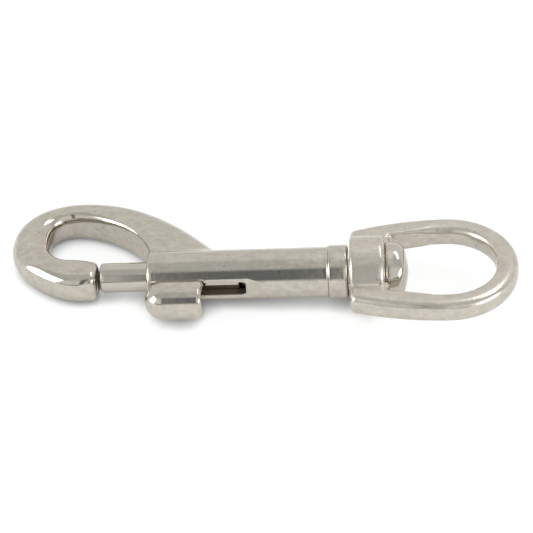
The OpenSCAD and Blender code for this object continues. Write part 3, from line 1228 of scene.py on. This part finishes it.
    def hub_fillets(self, base: np.ndarray) -> list[Shell]:
        """Fillets where the base's top and underside meet the hub, on the near side and the far one.

        Args:
            base: Rings of the base.

        Returns:
            The closed shells of the four fillets.
        """
        s = self.sizes
        shells = []
        half = len(base) // 2 + 1
        for rows in (base[:half], base[::-1][:half]):
            strip = ball_fillet(rows, s.hub_r, np.full(base.shape[1], self.hub_ball), 14)
            x = strip[:, :, 0]
            fits = (x.min(axis=1) > s.hub_front + 0.75) & (x.max(axis=1) < s.hub_back - self.rear_round)
            for side in (1.0, -1.0):
                keep = fits & (strip[:, 0, 2] * side > 0)
                shells += closed_tube(strip[keep])
        return shells

    def build(self) -> bpy.types.Object:
        """Makes the casting of bow, base, turned hub and the fillets between them.

        Returns:
            The piece.
        """
        s = self.sizes
        f, b = self.front_round, self.rear_round
        hub = np.concatenate([
            run(s.hub_front, self.journal_r, s.hub_front, s.hub_r - f, 3),
            arc(s.hub_front + f, s.hub_r - f, f, 180, 90, 10),
            run(s.hub_front + f, s.hub_r, s.hub_back - b, s.hub_r, 16),
            arc(s.hub_back - b, s.hub_r - b, b, 90, 0, 14),
            run(s.hub_back, s.hub_r - b, s.hub_back, self.journal_r, 3),
            [[s.hub_back, self.journal_r], [s.hub_front, self.journal_r]],
        ])
        base = self.base()
        shells = closed_tube(self.bow()) + closed_tube(base) + self.hub_fillets(base)
        shells.append(grid_shell(turned(hub, self.hub_points), wrap_rows=True, wrap_cols=True))
        return mesh_piece("SwivelEye", shells)


# Finishes

def linear(code: str) -> tuple[float, float, float, float]:
    """Turns an sRGB hex code to linear colour.

    Args:
        code: The code, as #RRGGBB.

    Returns:
        Linear red, green and blue, with an alpha of 1.
    """
    parts = [int(code[i:i + 2], 16) / 255.0 for i in (1, 3, 5)]
    values = [p / 12.92 if p <= 0.04045 else ((p + 0.055) / 1.055) ** 2.4 for p in parts]
    return (values[0], values[1], values[2], 1.0)


def add_node(
    tree: bpy.types.NodeTree,
    kind: str,
    links: dict[str | int, object] | None = None,
    **settings: object,
) -> bpy.types.Node:
    """Adds one node.

    Args:
        tree: The node tree.
        kind: Blender's name of the node type.
        links: Input name or number to an output socket or a plain value.
        **settings: Attributes of the node.

    Returns:
        The new node.
    """
    node = tree.nodes.new(kind)
    for key, value in settings.items():
        setattr(node, key, value)
    for key, value in (links or {}).items():
        if isinstance(value, bpy.types.NodeSocket):
            tree.links.new(value, node.inputs[key])
        else:
            node.inputs[key].default_value = value
    return node


class Making(Enum):
    """How a steel piece got its shape, which decides whether it has casting pits."""

    CAST = "cast"
    TURNED = "turned"
    DRAWN = "drawn"


@dataclass(frozen=True)
class RoughCastAndPaintedShade:
    """Where the hook's casting keeps a brown, rough cast surface that no buffing wheel gets in to
    polish, and where its colour is darkened as painted shade.

    The brown stands partly for the real unbuffed surface of the bore and the slot's walls, and partly
    for painted shade there, in the narrow slot and the bore. The dark bands on the tip's end face, in
    the gap before the bolt, and on the collar's rear face, in the seam before the hub, are painted
    shade.

    Attributes:
        sizes: Sizes of the part.
        reach: Distance from the axis within which the bore and the slot's walls lie.
        reach_soft: Half width of the brown's edge there.
        front_inset: How far behind the barrel's front the brown starts.
        flat_inset: How far under the slot's flat it ends.
        tip_inset: Depth of the middle of the painted shade on the tip's end face.
        tip_half: Half the depth of that painted shade.
        seam_half: Half the depth of the painted shade on the collar's rear face.
        colour: Colour of the rough cast surface, which is also the colour of the painted shade.
        roughness: Roughness of the rough cast surface and of the painted shade.
    """

    sizes: SnapHookSizes
    reach: float = 4.7
    reach_soft: float = 0.1
    front_inset: float = 0.3
    flat_inset: float = 0.1
    tip_inset: float = 0.108
    tip_half: float = 0.17
    seam_half: float = 0.15
    colour: str = "#8C8074"
    roughness: float = 0.6

    def share(self, tree: bpy.types.NodeTree, mm: bpy.types.NodeSocket) -> bpy.types.NodeSocket:
        """Adds the nodes that are 1 on the rough cast surface and the painted shade, and 0 on polished
        metal.

        Args:
            tree: The node tree.
            mm: Place on the piece in millimetres.

        Returns:
            The socket that holds the share.
        """
        s = self.sizes
        add = partial(add_node, tree)
        parts = add("ShaderNodeSeparateXYZ", {0: mm})
        along = parts.outputs["X"]
        across = add("ShaderNodeCombineXYZ", {"Y": parts.outputs["Y"], "Z": parts.outputs["Z"]})
        radius = add("ShaderNodeVectorMath", {0: across.outputs[0]}, operation="LENGTH")
        near = add("ShaderNodeMapRange", {
            "Value": radius.outputs["Value"],
            "From Min": self.reach - self.reach_soft,
            "From Max": self.reach + self.reach_soft,
            "To Min": 1.0,
            "To Max": 0.0,
        }).outputs[0]
        # The dark band on the tip's end face is painted shade, in the narrow gap before the bolt.
        tip_x = s.tip_x + self.tip_inset
        tip = add("ShaderNodeMath", {0: along, 1: tip_x, 2: self.tip_half}, operation="COMPARE")
        tip = add("ShaderNodeMath", {0: tip.outputs[0], 1: near}, operation="MULTIPLY")
        # The dark band on the collar's rear face is painted shade, in the seam before the hub.
        seam = add("ShaderNodeMath", {
            0: along,
            1: s.collar_back,
            2: self.seam_half,
        }, operation="COMPARE")
        # The brown in the bore and on the slot's walls is partly the rough cast surface and partly
        # painted shade.
        rough_cast_and_shade_share = near
        limits = (("X", s.barrel_front + self.front_inset), ("Y", self.flat_inset - s.flat_y))
        for axis, limit in limits:
            past = add("ShaderNodeMath", {0: parts.outputs[axis], 1: limit}, operation="GREATER_THAN")
            rough_cast_and_shade_share = add("ShaderNodeMath", {0: rough_cast_and_shade_share, 1: past.outputs[0]}, operation="MULTIPLY").outputs[0]
        for face in (tip, seam):
            rough_cast_and_shade_share = add("ShaderNodeMath", {0: rough_cast_and_shade_share, 1: face.outputs[0]}, operation="MAXIMUM").outputs[0]
        return rough_cast_and_shade_share


@dataclass(frozen=True)
class Steel:
    """Stainless steel with the marks of its making.

    Attributes:
        name: Name of the material.
        making: How the piece got its shape.
        pale: Colour of the clean metal.
        dull: Colour of its duller, greener patches.
        roughness: Mean roughness of the surface.
        patch_mm: Size of the patches across the piece.
        wave_mm: Size of the waves that polishing leaves.
        wave_deep_mm: Their depth.
        rough_cast_and_painted_shade: Where the casting's rough cast surface is left unbuffed and where
            shade is painted, if anywhere.
        patch_draw: Frequency of the patches along X as a share of that across.
        patch_spread: How far from the middle of the noise a patch is fully dull or pale.
        rough_spread: How much rougher a dull patch is than the mean, as a share.
        rough_drop: How much smoother a pale one is.
        pit_cell_mm: Mean distance between the places where a pit may be.
        pit_share: Least random value of a cell that has a pit.
        pit_r: Radius of the largest pit as a share of the cell.
        pit_dark: How far a pit's middle goes to its colour.
        pit_colour: Colour of the dirt in a pit.
    """

    name: str
    making: Making
    pale: str
    dull: str
    roughness: float
    patch_mm: float
    wave_mm: float
    wave_deep_mm: float
    rough_cast_and_painted_shade: RoughCastAndPaintedShade | None = None
    patch_draw: float = 0.65
    patch_spread: float = 0.17
    rough_spread: float = 0.35
    rough_drop: float = 0.25
    pit_cell_mm: float = 1.25
    pit_share: float = 0.5
    pit_r: float = 0.28
    pit_dark: float = 0.55
    pit_colour: str = "#3E362E"

    def pits(self, tree: bpy.types.NodeTree, mm: bpy.types.NodeSocket) -> bpy.types.NodeSocket:
        """Adds the nodes of the casting pits, round spots of many sizes in some of the cells.

        Args:
            tree: The node tree.
            mm: Place on the piece in millimetres.

        Returns:
            The socket that holds how dark the pit is.
        """
        add = partial(add_node, tree)
        cells = add("ShaderNodeTexVoronoi", {
            "Vector": mm,
            "Scale": 1.0 / self.pit_cell_mm,
            "Randomness": 1.0,
        })
        radius = add("ShaderNodeMapRange", {
            "Value": cells.outputs["Color"],
            "From Min": self.pit_share,
            "From Max": 0.9,
            "To Min": 0.001,
            "To Max": self.pit_r,
        })
        spot = add("ShaderNodeMapRange", {
            "Value": cells.outputs["Distance"],
            "From Min": 0.0,
            "From Max": radius.outputs[0],
            "To Min": 1.0,
            "To Max": 0.0,
        }, interpolation_type="SMOOTHSTEP")
        dark = add("ShaderNodeMath", {0: spot.outputs[0], 1: self.pit_dark}, operation="MULTIPLY")
        return dark.outputs[0]

    def material(self) -> bpy.types.Material:
        """Builds the material: patches and waves, then pits, and the rough cast surface with its
        painted shade where it has them.

        Returns:
            The material, with its patterns in millimetres on Object coordinates.
        """
        mat = bpy.data.materials.new(self.name)
        mat.use_nodes = True
        tree = mat.node_tree
        tree.nodes.clear()
        add = partial(add_node, tree)
        place = add("ShaderNodeTexCoord").outputs["Object"]
        per_mm = 1.0 / MM
        mm = add("ShaderNodeMapping", {"Vector": place, "Scale": (per_mm, per_mm, per_mm)}).outputs[0]
        drawn = add("ShaderNodeMapping", {
            "Vector": place,
            "Scale": (per_mm * self.patch_draw, per_mm, per_mm),
        })
        patches = add("ShaderNodeTexNoise", {
            "Vector": drawn.outputs[0],
            "Scale": 1.0 / self.patch_mm,
            "Detail": 6.0,
            "Roughness": 0.72,
        })
        waves = add("ShaderNodeTexNoise", {
            "Vector": mm,
            "Scale": 1.0 / self.wave_mm,
            "Detail": 4.0,
            "Roughness": 0.5,
        })
        height = add("ShaderNodeMath", {
            0: waves.outputs["Fac"],
            1: self.wave_deep_mm * MM,
        }, operation="MULTIPLY")
        share = add("ShaderNodeMapRange", {
            "Value": patches.outputs["Fac"],
            "From Min": 0.5 - self.patch_spread,
            "From Max": 0.5 + self.patch_spread,
        }).outputs[0]
        mixed = add("ShaderNodeMix", {
            0: share,
            6: linear(self.dull),
            7: linear(self.pale),
        }, data_type="RGBA")
        rough = add("ShaderNodeMapRange", {
            "Value": share,
            "To Min": self.roughness * (1.0 + self.rough_spread),
            "To Max": self.roughness * (1.0 - self.rough_drop),
        }).outputs[0]
        colour = mixed.outputs[2]
        if self.making is Making.CAST:
            mixed = add("ShaderNodeMix", {
                0: self.pits(tree, mm),
                6: colour,
                7: linear(self.pit_colour),
            }, data_type="RGBA")
            colour = mixed.outputs[2]
        # The brown is partly the rough cast surface and partly painted shade in the bore, the slot and
        # the narrow gaps.
        if self.rough_cast_and_painted_shade:
            rough_cast_and_shade_share = self.rough_cast_and_painted_shade.share(tree, mm)
            mixed = add("ShaderNodeMix", {
                0: rough_cast_and_shade_share,
                6: colour,
                7: linear(self.rough_cast_and_painted_shade.colour),
            }, data_type="RGBA")
            colour = mixed.outputs[2]
            rough = add("ShaderNodeMix", {0: rough_cast_and_shade_share, 2: rough, 3: self.rough_cast_and_painted_shade.roughness}).outputs[0]
        bump = add("ShaderNodeBump", {"Height": height.outputs[0], "Strength": 1.0, "Distance": 1.0})
        shader = add("ShaderNodeBsdfPrincipled", {
            "Base Color": colour,
            "Metallic": 1.0,
            "Roughness": rough,
            "Normal": bump.outputs[0],
        })
        add("ShaderNodeOutputMaterial", {"Surface": shader.outputs[0]})
        return mat


# Cast stainless steel, ground and buffed by hand: hook and knob. It mirrors the room in
# clear bands whose edges waver a little, over faint warm patches, with a few open pits.
# Real patches and waves start at a few tenths of a millimetre, too fine to show at this
# size, so they are drawn about 1 mm wide.
POLISHED_CASTING = Steel(
    name="PolishedCasting",
    making=Making.CAST,
    pale="#D5CEC3",
    dull="#BEB8AE",
    roughness=0.11,
    patch_mm=1.3,
    wave_mm=1.1,
    wave_deep_mm=0.009,
    # Brown in bore, slot and narrow gaps: partly rough cast surface, partly painted shade.
    rough_cast_and_painted_shade=RoughCastAndPaintedShade(SnapHookSizes()),
)

# Cast stainless steel, tumbled in stones and not buffed: the eye. It is as bright as the
# hook, but its bands are soft and it looks satin.
TUMBLED_CASTING = Steel(
    name="TumbledCasting",
    making=Making.CAST,
    pale="#DCD5CB",
    dull="#C4BEB3",
    roughness=0.25,
    patch_mm=1.3,
    wave_mm=1.1,
    wave_deep_mm=0.008,
)

# Stainless steel bar, turned and polished: bolt and pin. It has no pits and hardly a
# wave, so its bands are straight.
TURNED_STAINLESS = Steel(
    name="TurnedStainless",
    making=Making.TURNED,
    pale="#D1CAC0",
    dull="#C5BFB5",
    roughness=0.11,
    patch_mm=1.6,
    wave_mm=0.9,
    wave_deep_mm=0.002,
)

# Stainless spring wire, drawn and coiled: the spring. It is greyer and duller than the
# polished pieces.
SPRING_WIRE = Steel(
    name="SpringWire",
    making=Making.DRAWN,
    pale="#C8C4BE",
    dull="#B8B5AC",
    roughness=0.22,
    patch_mm=0.8,
    wave_mm=0.6,
    wave_deep_mm=0.001,
)


# Studio

@dataclass(frozen=True)
class Stretch:
    """Values between two limits, each with a soft half width.

    Attributes:
        low: Lower limit, where the share is a half.
        low_soft: Half width of the fade there.
        high: Upper limit.
        high_soft: Half width of the fade there.
    """

    low: float
    low_soft: float
    high: float
    high_soft: float

    def share(
        self,
        tree: bpy.types.NodeTree,
        value: bpy.types.NodeSocket,
        unit: float = 1.0,
    ) -> bpy.types.NodeSocket:
        """Adds the nodes that are 1 within the stretch and fade to 0 outside it.

        Args:
            tree: The node tree.
            value: The value to test.
            unit: Size of the stretch's unit in the value's own.

        Returns:
            The socket that holds the share.
        """
        add = partial(add_node, tree)
        rise = add("ShaderNodeMapRange", {
            "Value": value,
            "From Min": (self.low - self.low_soft) * unit,
            "From Max": (self.low + self.low_soft) * unit,
        }, interpolation_type="SMOOTHSTEP")
        fall = add("ShaderNodeMapRange", {
            "Value": value,
            "From Min": (self.high - self.high_soft) * unit,
            "From Max": (self.high + self.high_soft) * unit,
            "To Min": 1.0,
            "To Max": 0.0,
        }, interpolation_type="SMOOTHSTEP")
        both = {0: rise.outputs[0], 1: fall.outputs[0]}
        return add("ShaderNodeMath", both, operation="MULTIPLY").outputs[0]


@dataclass(frozen=True)
class RoomPart:
    """A part of the room that differs in brightness from the rest, seen only in the metal.

    Attributes:
        angle: Where it lies, in degrees from the horizon at the camera's side, over the
            top, to the horizon behind the object.
        across: Where it lies sideways, as the X part of the direction to it.
        missing: Whether it runs all along the room except there.
        colour: Its linear colour.
    """

    angle: Stretch
    across: Stretch
    missing: bool
    colour: tuple[float, float, float, float]


@dataclass(frozen=True)
class SoftBox:
    """An area lamp that faces the object.

    Attributes:
        name: Name of the lamp.
        azimuth: Direction in degrees from the camera's side, rising towards +X.
        height: Elevation of its middle in degrees.
        span: Width in degrees as the object sees it.
        rise: Height in degrees as the object sees it.
        level: Radiance of its face, where 1 is white.
        away: Distance in metres.
    """

    name: str
    azimuth: float
    height: float
    span: float
    rise: float
    level: float
    away: float = 1.2

    def build(self, aim: Vector) -> None:
        """Adds the lamp.

        Args:
            aim: The point that it faces, in metres.
        """
        az, el = math.radians(self.azimuth), math.radians(self.height)
        way = Vector((math.sin(az) * math.cos(el), -math.cos(az) * math.cos(el), math.sin(el)))
        data = bpy.data.lights.new(self.name, "AREA")
        data.shape = "RECTANGLE"
        data.size = 2 * self.away * math.tan(math.radians(self.span) / 2)
        data.size_y = 2 * self.away * math.tan(math.radians(self.rise) / 2)
        data.energy = self.level * math.pi * data.size * data.size_y
        lamp = bpy.data.objects.new(self.name, data)
        bpy.context.scene.collection.objects.link(lamp)
        turn = way.to_track_quat("Z", "Y").to_matrix().to_4x4()
        lamp.matrix_world = Matrix.Translation(aim + way * self.away) @ turn


@dataclass
class Studio:
    """Pale floor, soft light and the camera.

    The room's shades are what the steel mirrors: pale at the horizon and behind, grey
    overhead. A dark upright strip in front is where camera and photographer stand, a dark
    line at the horizon is the table's front edge, and two pale parts over the middle are
    the ceiling and the screen behind.

    Attributes:
        elevation: Elevation of the camera in degrees.
        distance: Its distance in millimetres.
        yaw: Turn of the camera about the vertical, in degrees.
        roll: Turn of the camera about its own view, in degrees.
        aim_x: Place on the barrel's axis at which it looks.
        focal_px: Focal length in pixels of the photograph.
        picture_px: Width of the photograph.
        drop_px: How far under the picture's middle the aim lies.
        sensor_mm: Width of the sensor.
        hub_low: Place along the axis and height where the hub rests on the floor.
        hook_low: The same for the hook's bow.
        floor_half: Half the floor's width.
        floor_colour: Colour of the paper.
        contact_mm: How near the object darkens the paper under it.
        contact_open: Openness at which that dark is full, and at which it ends.
        contact_dark: Brightness of the paper in the full dark.
        paper_glow: Brightness of the paper by itself, where 1 is white.
        paper_lit: Share of lamp-lit paper that is added to that, for the shadow.
        paper_in_metal: Share of the paper's brightness that metal mirrors.
        shades: Angles from the horizon in front over the top to that behind, and the
            brightness of the room there.
        grey_under: Brightness under which a shade is cool.
        grey_tint: Tint of a cool shade.
        pale_tint: Tint of a pale one.
        parts: Parts of the room that differ from their surroundings.
        lamps: The soft boxes.
    """

    elevation: float = 40.0
    distance: float = 350.0
    yaw: float = -5.29
    roll: float = -4.99
    aim_x: float = -35.90
    focal_px: float = 1753.5
    picture_px: float = 533.0
    drop_px: float = 7.1
    sensor_mm: float = 36.0
    hub_low: tuple[float, float] = (-15.8, -7.0)
    hook_low: tuple[float, float] = (-82.0, -3.5)
    floor_half: float = 1500.0
    floor_colour: str = "#F3F3F3"
    contact_mm: float = 5.0
    contact_open: tuple[float, float] = (0.12, 0.6)
    contact_dark: float = 0.22
    paper_glow: float = 0.82
    paper_lit: float = 0.26
    paper_in_metal: float = 0.45
    shades: tuple[tuple[float, float], ...] = (
        (0.0, 0.84), (45.0, 0.85), (59.4, 0.62), (100.8, 0.62), (111.6, 0.82), (180.0, 0.80),
    )
    grey_under: float = 0.7
    grey_tint: tuple[float, float, float] = (0.97, 1.0, 0.985)
    pale_tint: tuple[float, float, float] = (1.0, 1.0, 0.985)
    parts: tuple[RoomPart, ...] = (
        # The ceiling over the middle
        RoomPart(
            angle=Stretch(58.0, 5.0, 95.0, 5.0),
            across=Stretch(-0.042, 0.01, 0.10, 0.05),
            missing=False,
            colour=(0.70, 0.71, 0.70, 1.0),
        ),
        # The screen behind it
        RoomPart(
            angle=Stretch(88.0, 5.0, 128.0, 5.0),
            across=Stretch(-0.042, 0.01, 0.10, 0.05),
            missing=False,
            colour=(0.93, 0.93, 0.91, 1.0),
        ),
        # The table's front edge, which the middle hides
        RoomPart(
            angle=Stretch(1.0, 2.0, 7.0, 2.0),
            across=Stretch(-0.15, 0.01, 0.10, 0.02),
            missing=True,
            colour=(0.10, 0.10, 0.10, 1.0),
        ),
        # The dark upright strip in front
        RoomPart(
            angle=Stretch(7.0, 6.0, 58.0, 8.0),
            across=Stretch(-0.152, 0.01, -0.013, 0.026),
            missing=False,
            colour=(0.14, 0.155, 0.165, 1.0),
        ),
    )
    lamps: tuple[SoftBox, ...] = (
        SoftBox("SoftBoxLeft", -71.5, 17.0, 37.0, 50.0, 3.2),
        SoftBox("SoftBoxRight", 60.0, 8.0, 34.0, 22.0, 3.0),
        SoftBox("SoftBoxBack", 126.0, 58.0, 36.0, 14.0, 2.6),
    )

    def camera(self) -> None:
        """Places the camera from its elevation, distance, yaw and roll."""
        e, yaw, roll = (math.radians(v) for v in (self.elevation, self.yaw, self.roll))
        turn = Matrix.Rotation(-yaw, 3, "Z")
        side = Vector((1.0, 0.0, 0.0))
        lift = Vector((0.0, math.sin(e), math.cos(e)))
        right = turn @ (side * math.cos(roll) + lift * math.sin(roll))
        up = turn @ (lift * math.cos(roll) - side * math.sin(roll))
        back = right.cross(up)
        eye = turn @ Vector((0.0, -self.distance * math.cos(e), self.distance * math.sin(e)))
        eye += Vector((self.aim_x, 0.0, 0.0))
        data = bpy.data.cameras.new("Camera")
        data.sensor_width = self.sensor_mm
        data.lens = self.focal_px / self.picture_px * self.sensor_mm
        data.shift_y = self.drop_px / self.picture_px
        data.clip_end = 20.0
        data.clip_start = 0.01
        camera = bpy.data.objects.new("Camera", data)
        bpy.context.scene.collection.objects.link(camera)
        axes = Matrix((right, up, back)).transposed().to_4x4()
        camera.matrix_world = Matrix.Translation(eye * MM) @ axes
        bpy.context.scene.camera = camera

    def paper(self) -> bpy.types.Material:
        """White paper that keeps the object's shadow.

        Camera rays see it glow almost white, darker where ambient occlusion finds the
        object close by, with a part lit by the lamps so that a soft shadow shows. Metal
        sees it like that by a share only, which keeps the steel's undersides from
        washing out. All else sees plain paper.

        Returns:
            The material.
        """
        mat = bpy.data.materials.new("FloorPaper")
        mat.use_nodes = True
        tree = mat.node_tree
        tree.nodes.clear()
        add = partial(add_node, tree)
        seen = add("ShaderNodeLightPath")
        plain = add("ShaderNodeBsdfDiffuse", {"Color": linear(self.floor_colour)})
        openness = add("ShaderNodeAmbientOcclusion", {"Distance": self.contact_mm * MM}, samples=16)
        contact = add("ShaderNodeMapRange", {
            "Value": openness.outputs["AO"],
            "From Min": self.contact_open[0],
            "From Max": self.contact_open[1],
            "To Min": self.contact_dark,
            "To Max": 1.0,
        })
        glow = add("ShaderNodeEmission", {"Color": contact.outputs[0], "Strength": self.paper_glow})
        dimmed = add("ShaderNodeMix", {
            0: 1.0 - self.paper_lit,
            6: contact.outputs[0],
            7: linear("#000000"),
        }, data_type="RGBA")
        lit = add("ShaderNodeBsdfDiffuse", {"Color": dimmed.outputs[2]})
        shown = add("ShaderNodeAddShader", {0: glow.outputs[0], 1: lit.outputs[0]})
        views = seen.outputs["Is Camera Ray"]
        for kind, part in (("Is Glossy Ray", self.paper_in_metal), ("Is Transmission Ray", 1.0)):
            inputs = {0: seen.outputs[kind], 1: part, 2: views}
            views = add("ShaderNodeMath", inputs, operation="MULTIPLY_ADD", use_clamp=True).outputs[0]
        mix = add("ShaderNodeMixShader", {0: views, 1: plain.outputs[0], 2: shown.outputs[0]})
        add("ShaderNodeOutputMaterial", {"Surface": mix.outputs[0]})
        return mat

    def floor(self) -> None:
        """Floor on which the hub and the hook's bow lie, a few degrees out of the axis."""
        slope = (self.hook_low[1] - self.hub_low[1]) / (self.hook_low[0] - self.hub_low[0])
        far = self.floor_half
        x = np.array([-far, far, far, -far]) + self.hub_low[0]
        y = np.array([-far, -far, far, far])
        z = self.hub_low[1] + slope * (x - self.hub_low[0])
        mesh = bpy.data.meshes.new("Floor")
        mesh.from_pydata((np.stack([x, y, z], axis=-1) * MM).tolist(), [], [(0, 1, 2, 3)])
        floor = bpy.data.objects.new("Floor", mesh)
        bpy.context.scene.collection.objects.link(floor)
        mesh.materials.append(self.paper())

    def room(self, tree: bpy.types.NodeTree) -> bpy.types.NodeSocket:
        """Adds the nodes of the room's colour by direction.

        The angle over the camera's horizon, the arctangent of Z and -Y, picks the shade,
        and each part of the room is then mixed over it.

        Args:
            tree: The world's node tree.

        Returns:
            The socket that holds the colour.
        """
        add = partial(add_node, tree)
        way = add("ShaderNodeTexCoord").outputs["Generated"]
        axes = add("ShaderNodeSeparateXYZ", {0: way})
        front = add("ShaderNodeMath", {0: axes.outputs["Y"], 1: -1.0}, operation="MULTIPLY")
        sides = {0: axes.outputs["Z"], 1: front.outputs[0]}
        angle = add("ShaderNodeMath", sides, operation="ARCTAN2").outputs[0]
        turned_by = add("ShaderNodeMapRange", {
            "Value": angle,
            "From Min": 0.0,
            "From Max": math.pi,
            "To Min": 0.0,
            "To Max": 1.0,
        })
        ramp = add("ShaderNodeValToRGB", {"Fac": turned_by.outputs[0]})
        elements = ramp.color_ramp.elements
        for degrees, _ in self.shades[2:]:
            elements.new(degrees / 180.0)
        for element, (degrees, level) in zip(elements, self.shades):
            tint = self.grey_tint if level < self.grey_under else self.pale_tint
            element.position = degrees / 180.0
            element.color = (*(level * part for part in tint), 1.0)
        colour = ramp.outputs[0]
        for part in self.parts:
            share = part.angle.share(tree, angle, math.radians(1.0))
            aside = part.across.share(tree, axes.outputs["X"])
            operation = "SUBTRACT" if part.missing else "MULTIPLY"
            both = add("ShaderNodeMath", {0: share, 1: aside}, operation=operation, use_clamp=True)
            inputs = {0: both.outputs[0], 6: colour, 7: part.colour}
            colour = add("ShaderNodeMix", inputs, data_type="RGBA").outputs[2]
        return colour

    def light(self) -> None:
        """Soft studio light: the room and three soft boxes. Camera rays see plain white."""
        world = bpy.data.worlds.new("Studio")
        bpy.context.scene.world = world
        world.use_nodes = True
        tree = world.node_tree
        tree.nodes.clear()
        add = partial(add_node, tree)
        seen = add("ShaderNodeLightPath").outputs["Is Camera Ray"]
        studio = add("ShaderNodeBackground", {"Color": self.room(tree), "Strength": 1.0})
        white = add("ShaderNodeBackground", {"Color": (1.0, 1.0, 1.0, 1.0), "Strength": 1.0})
        mix = add("ShaderNodeMixShader", {0: seen, 1: studio.outputs[0], 2: white.outputs[0]})
        add("ShaderNodeOutputWorld", {"Surface": mix.outputs[0]})
        for lamp in self.lamps:
            lamp.build(Vector((self.aim_x * MM, 0.0, 0.0)))


def main() -> None:
    """Builds the scene in order and reports each piece."""
    logging.basicConfig(level=logging.INFO, format="%(name)s: %(message)s")
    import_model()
    bpy.context.scene.view_settings.view_transform = "Standard"
    studio = Studio()
    studio.camera()
    studio.floor()
    studio.light()

    sizes = SnapHookSizes()
    polished = POLISHED_CASTING.material()
    tumbled = TUMBLED_CASTING.material()
    bar = TURNED_STAINLESS.material()
    wire = SPRING_WIRE.material()
    spring = Spring(sizes)
    coils = spring.build()
    pieces = (
        (HookBody(sizes).build(), "hook_body", "body", "cast_stainless", polished),
        (Bolt(sizes).build(), "bolt", "bolt", "turned_stainless", bar),
        (ThumbKnob(sizes).build(), "thumb_knob", "bolt", "cast_stainless", polished),
        (coils, "spring", "body", "spring_wire", wire),
        (SwivelPin(sizes).build(), "swivel_pin", "body", "turned_stainless", bar),
        (SwivelEye(sizes).build(), "swivel_eye", "eye", "cast_stainless", tumbled),
    )
    for piece, node, body, slot, material in pieces:
        piece.data.materials.append(material)
        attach(piece, body)
        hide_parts(node)
        LOG.info("%s stands for %s: %d faces", piece.name, node, len(piece.data.polygons))
    spring.follow(coils)


if __name__ == "__main__":
    main()
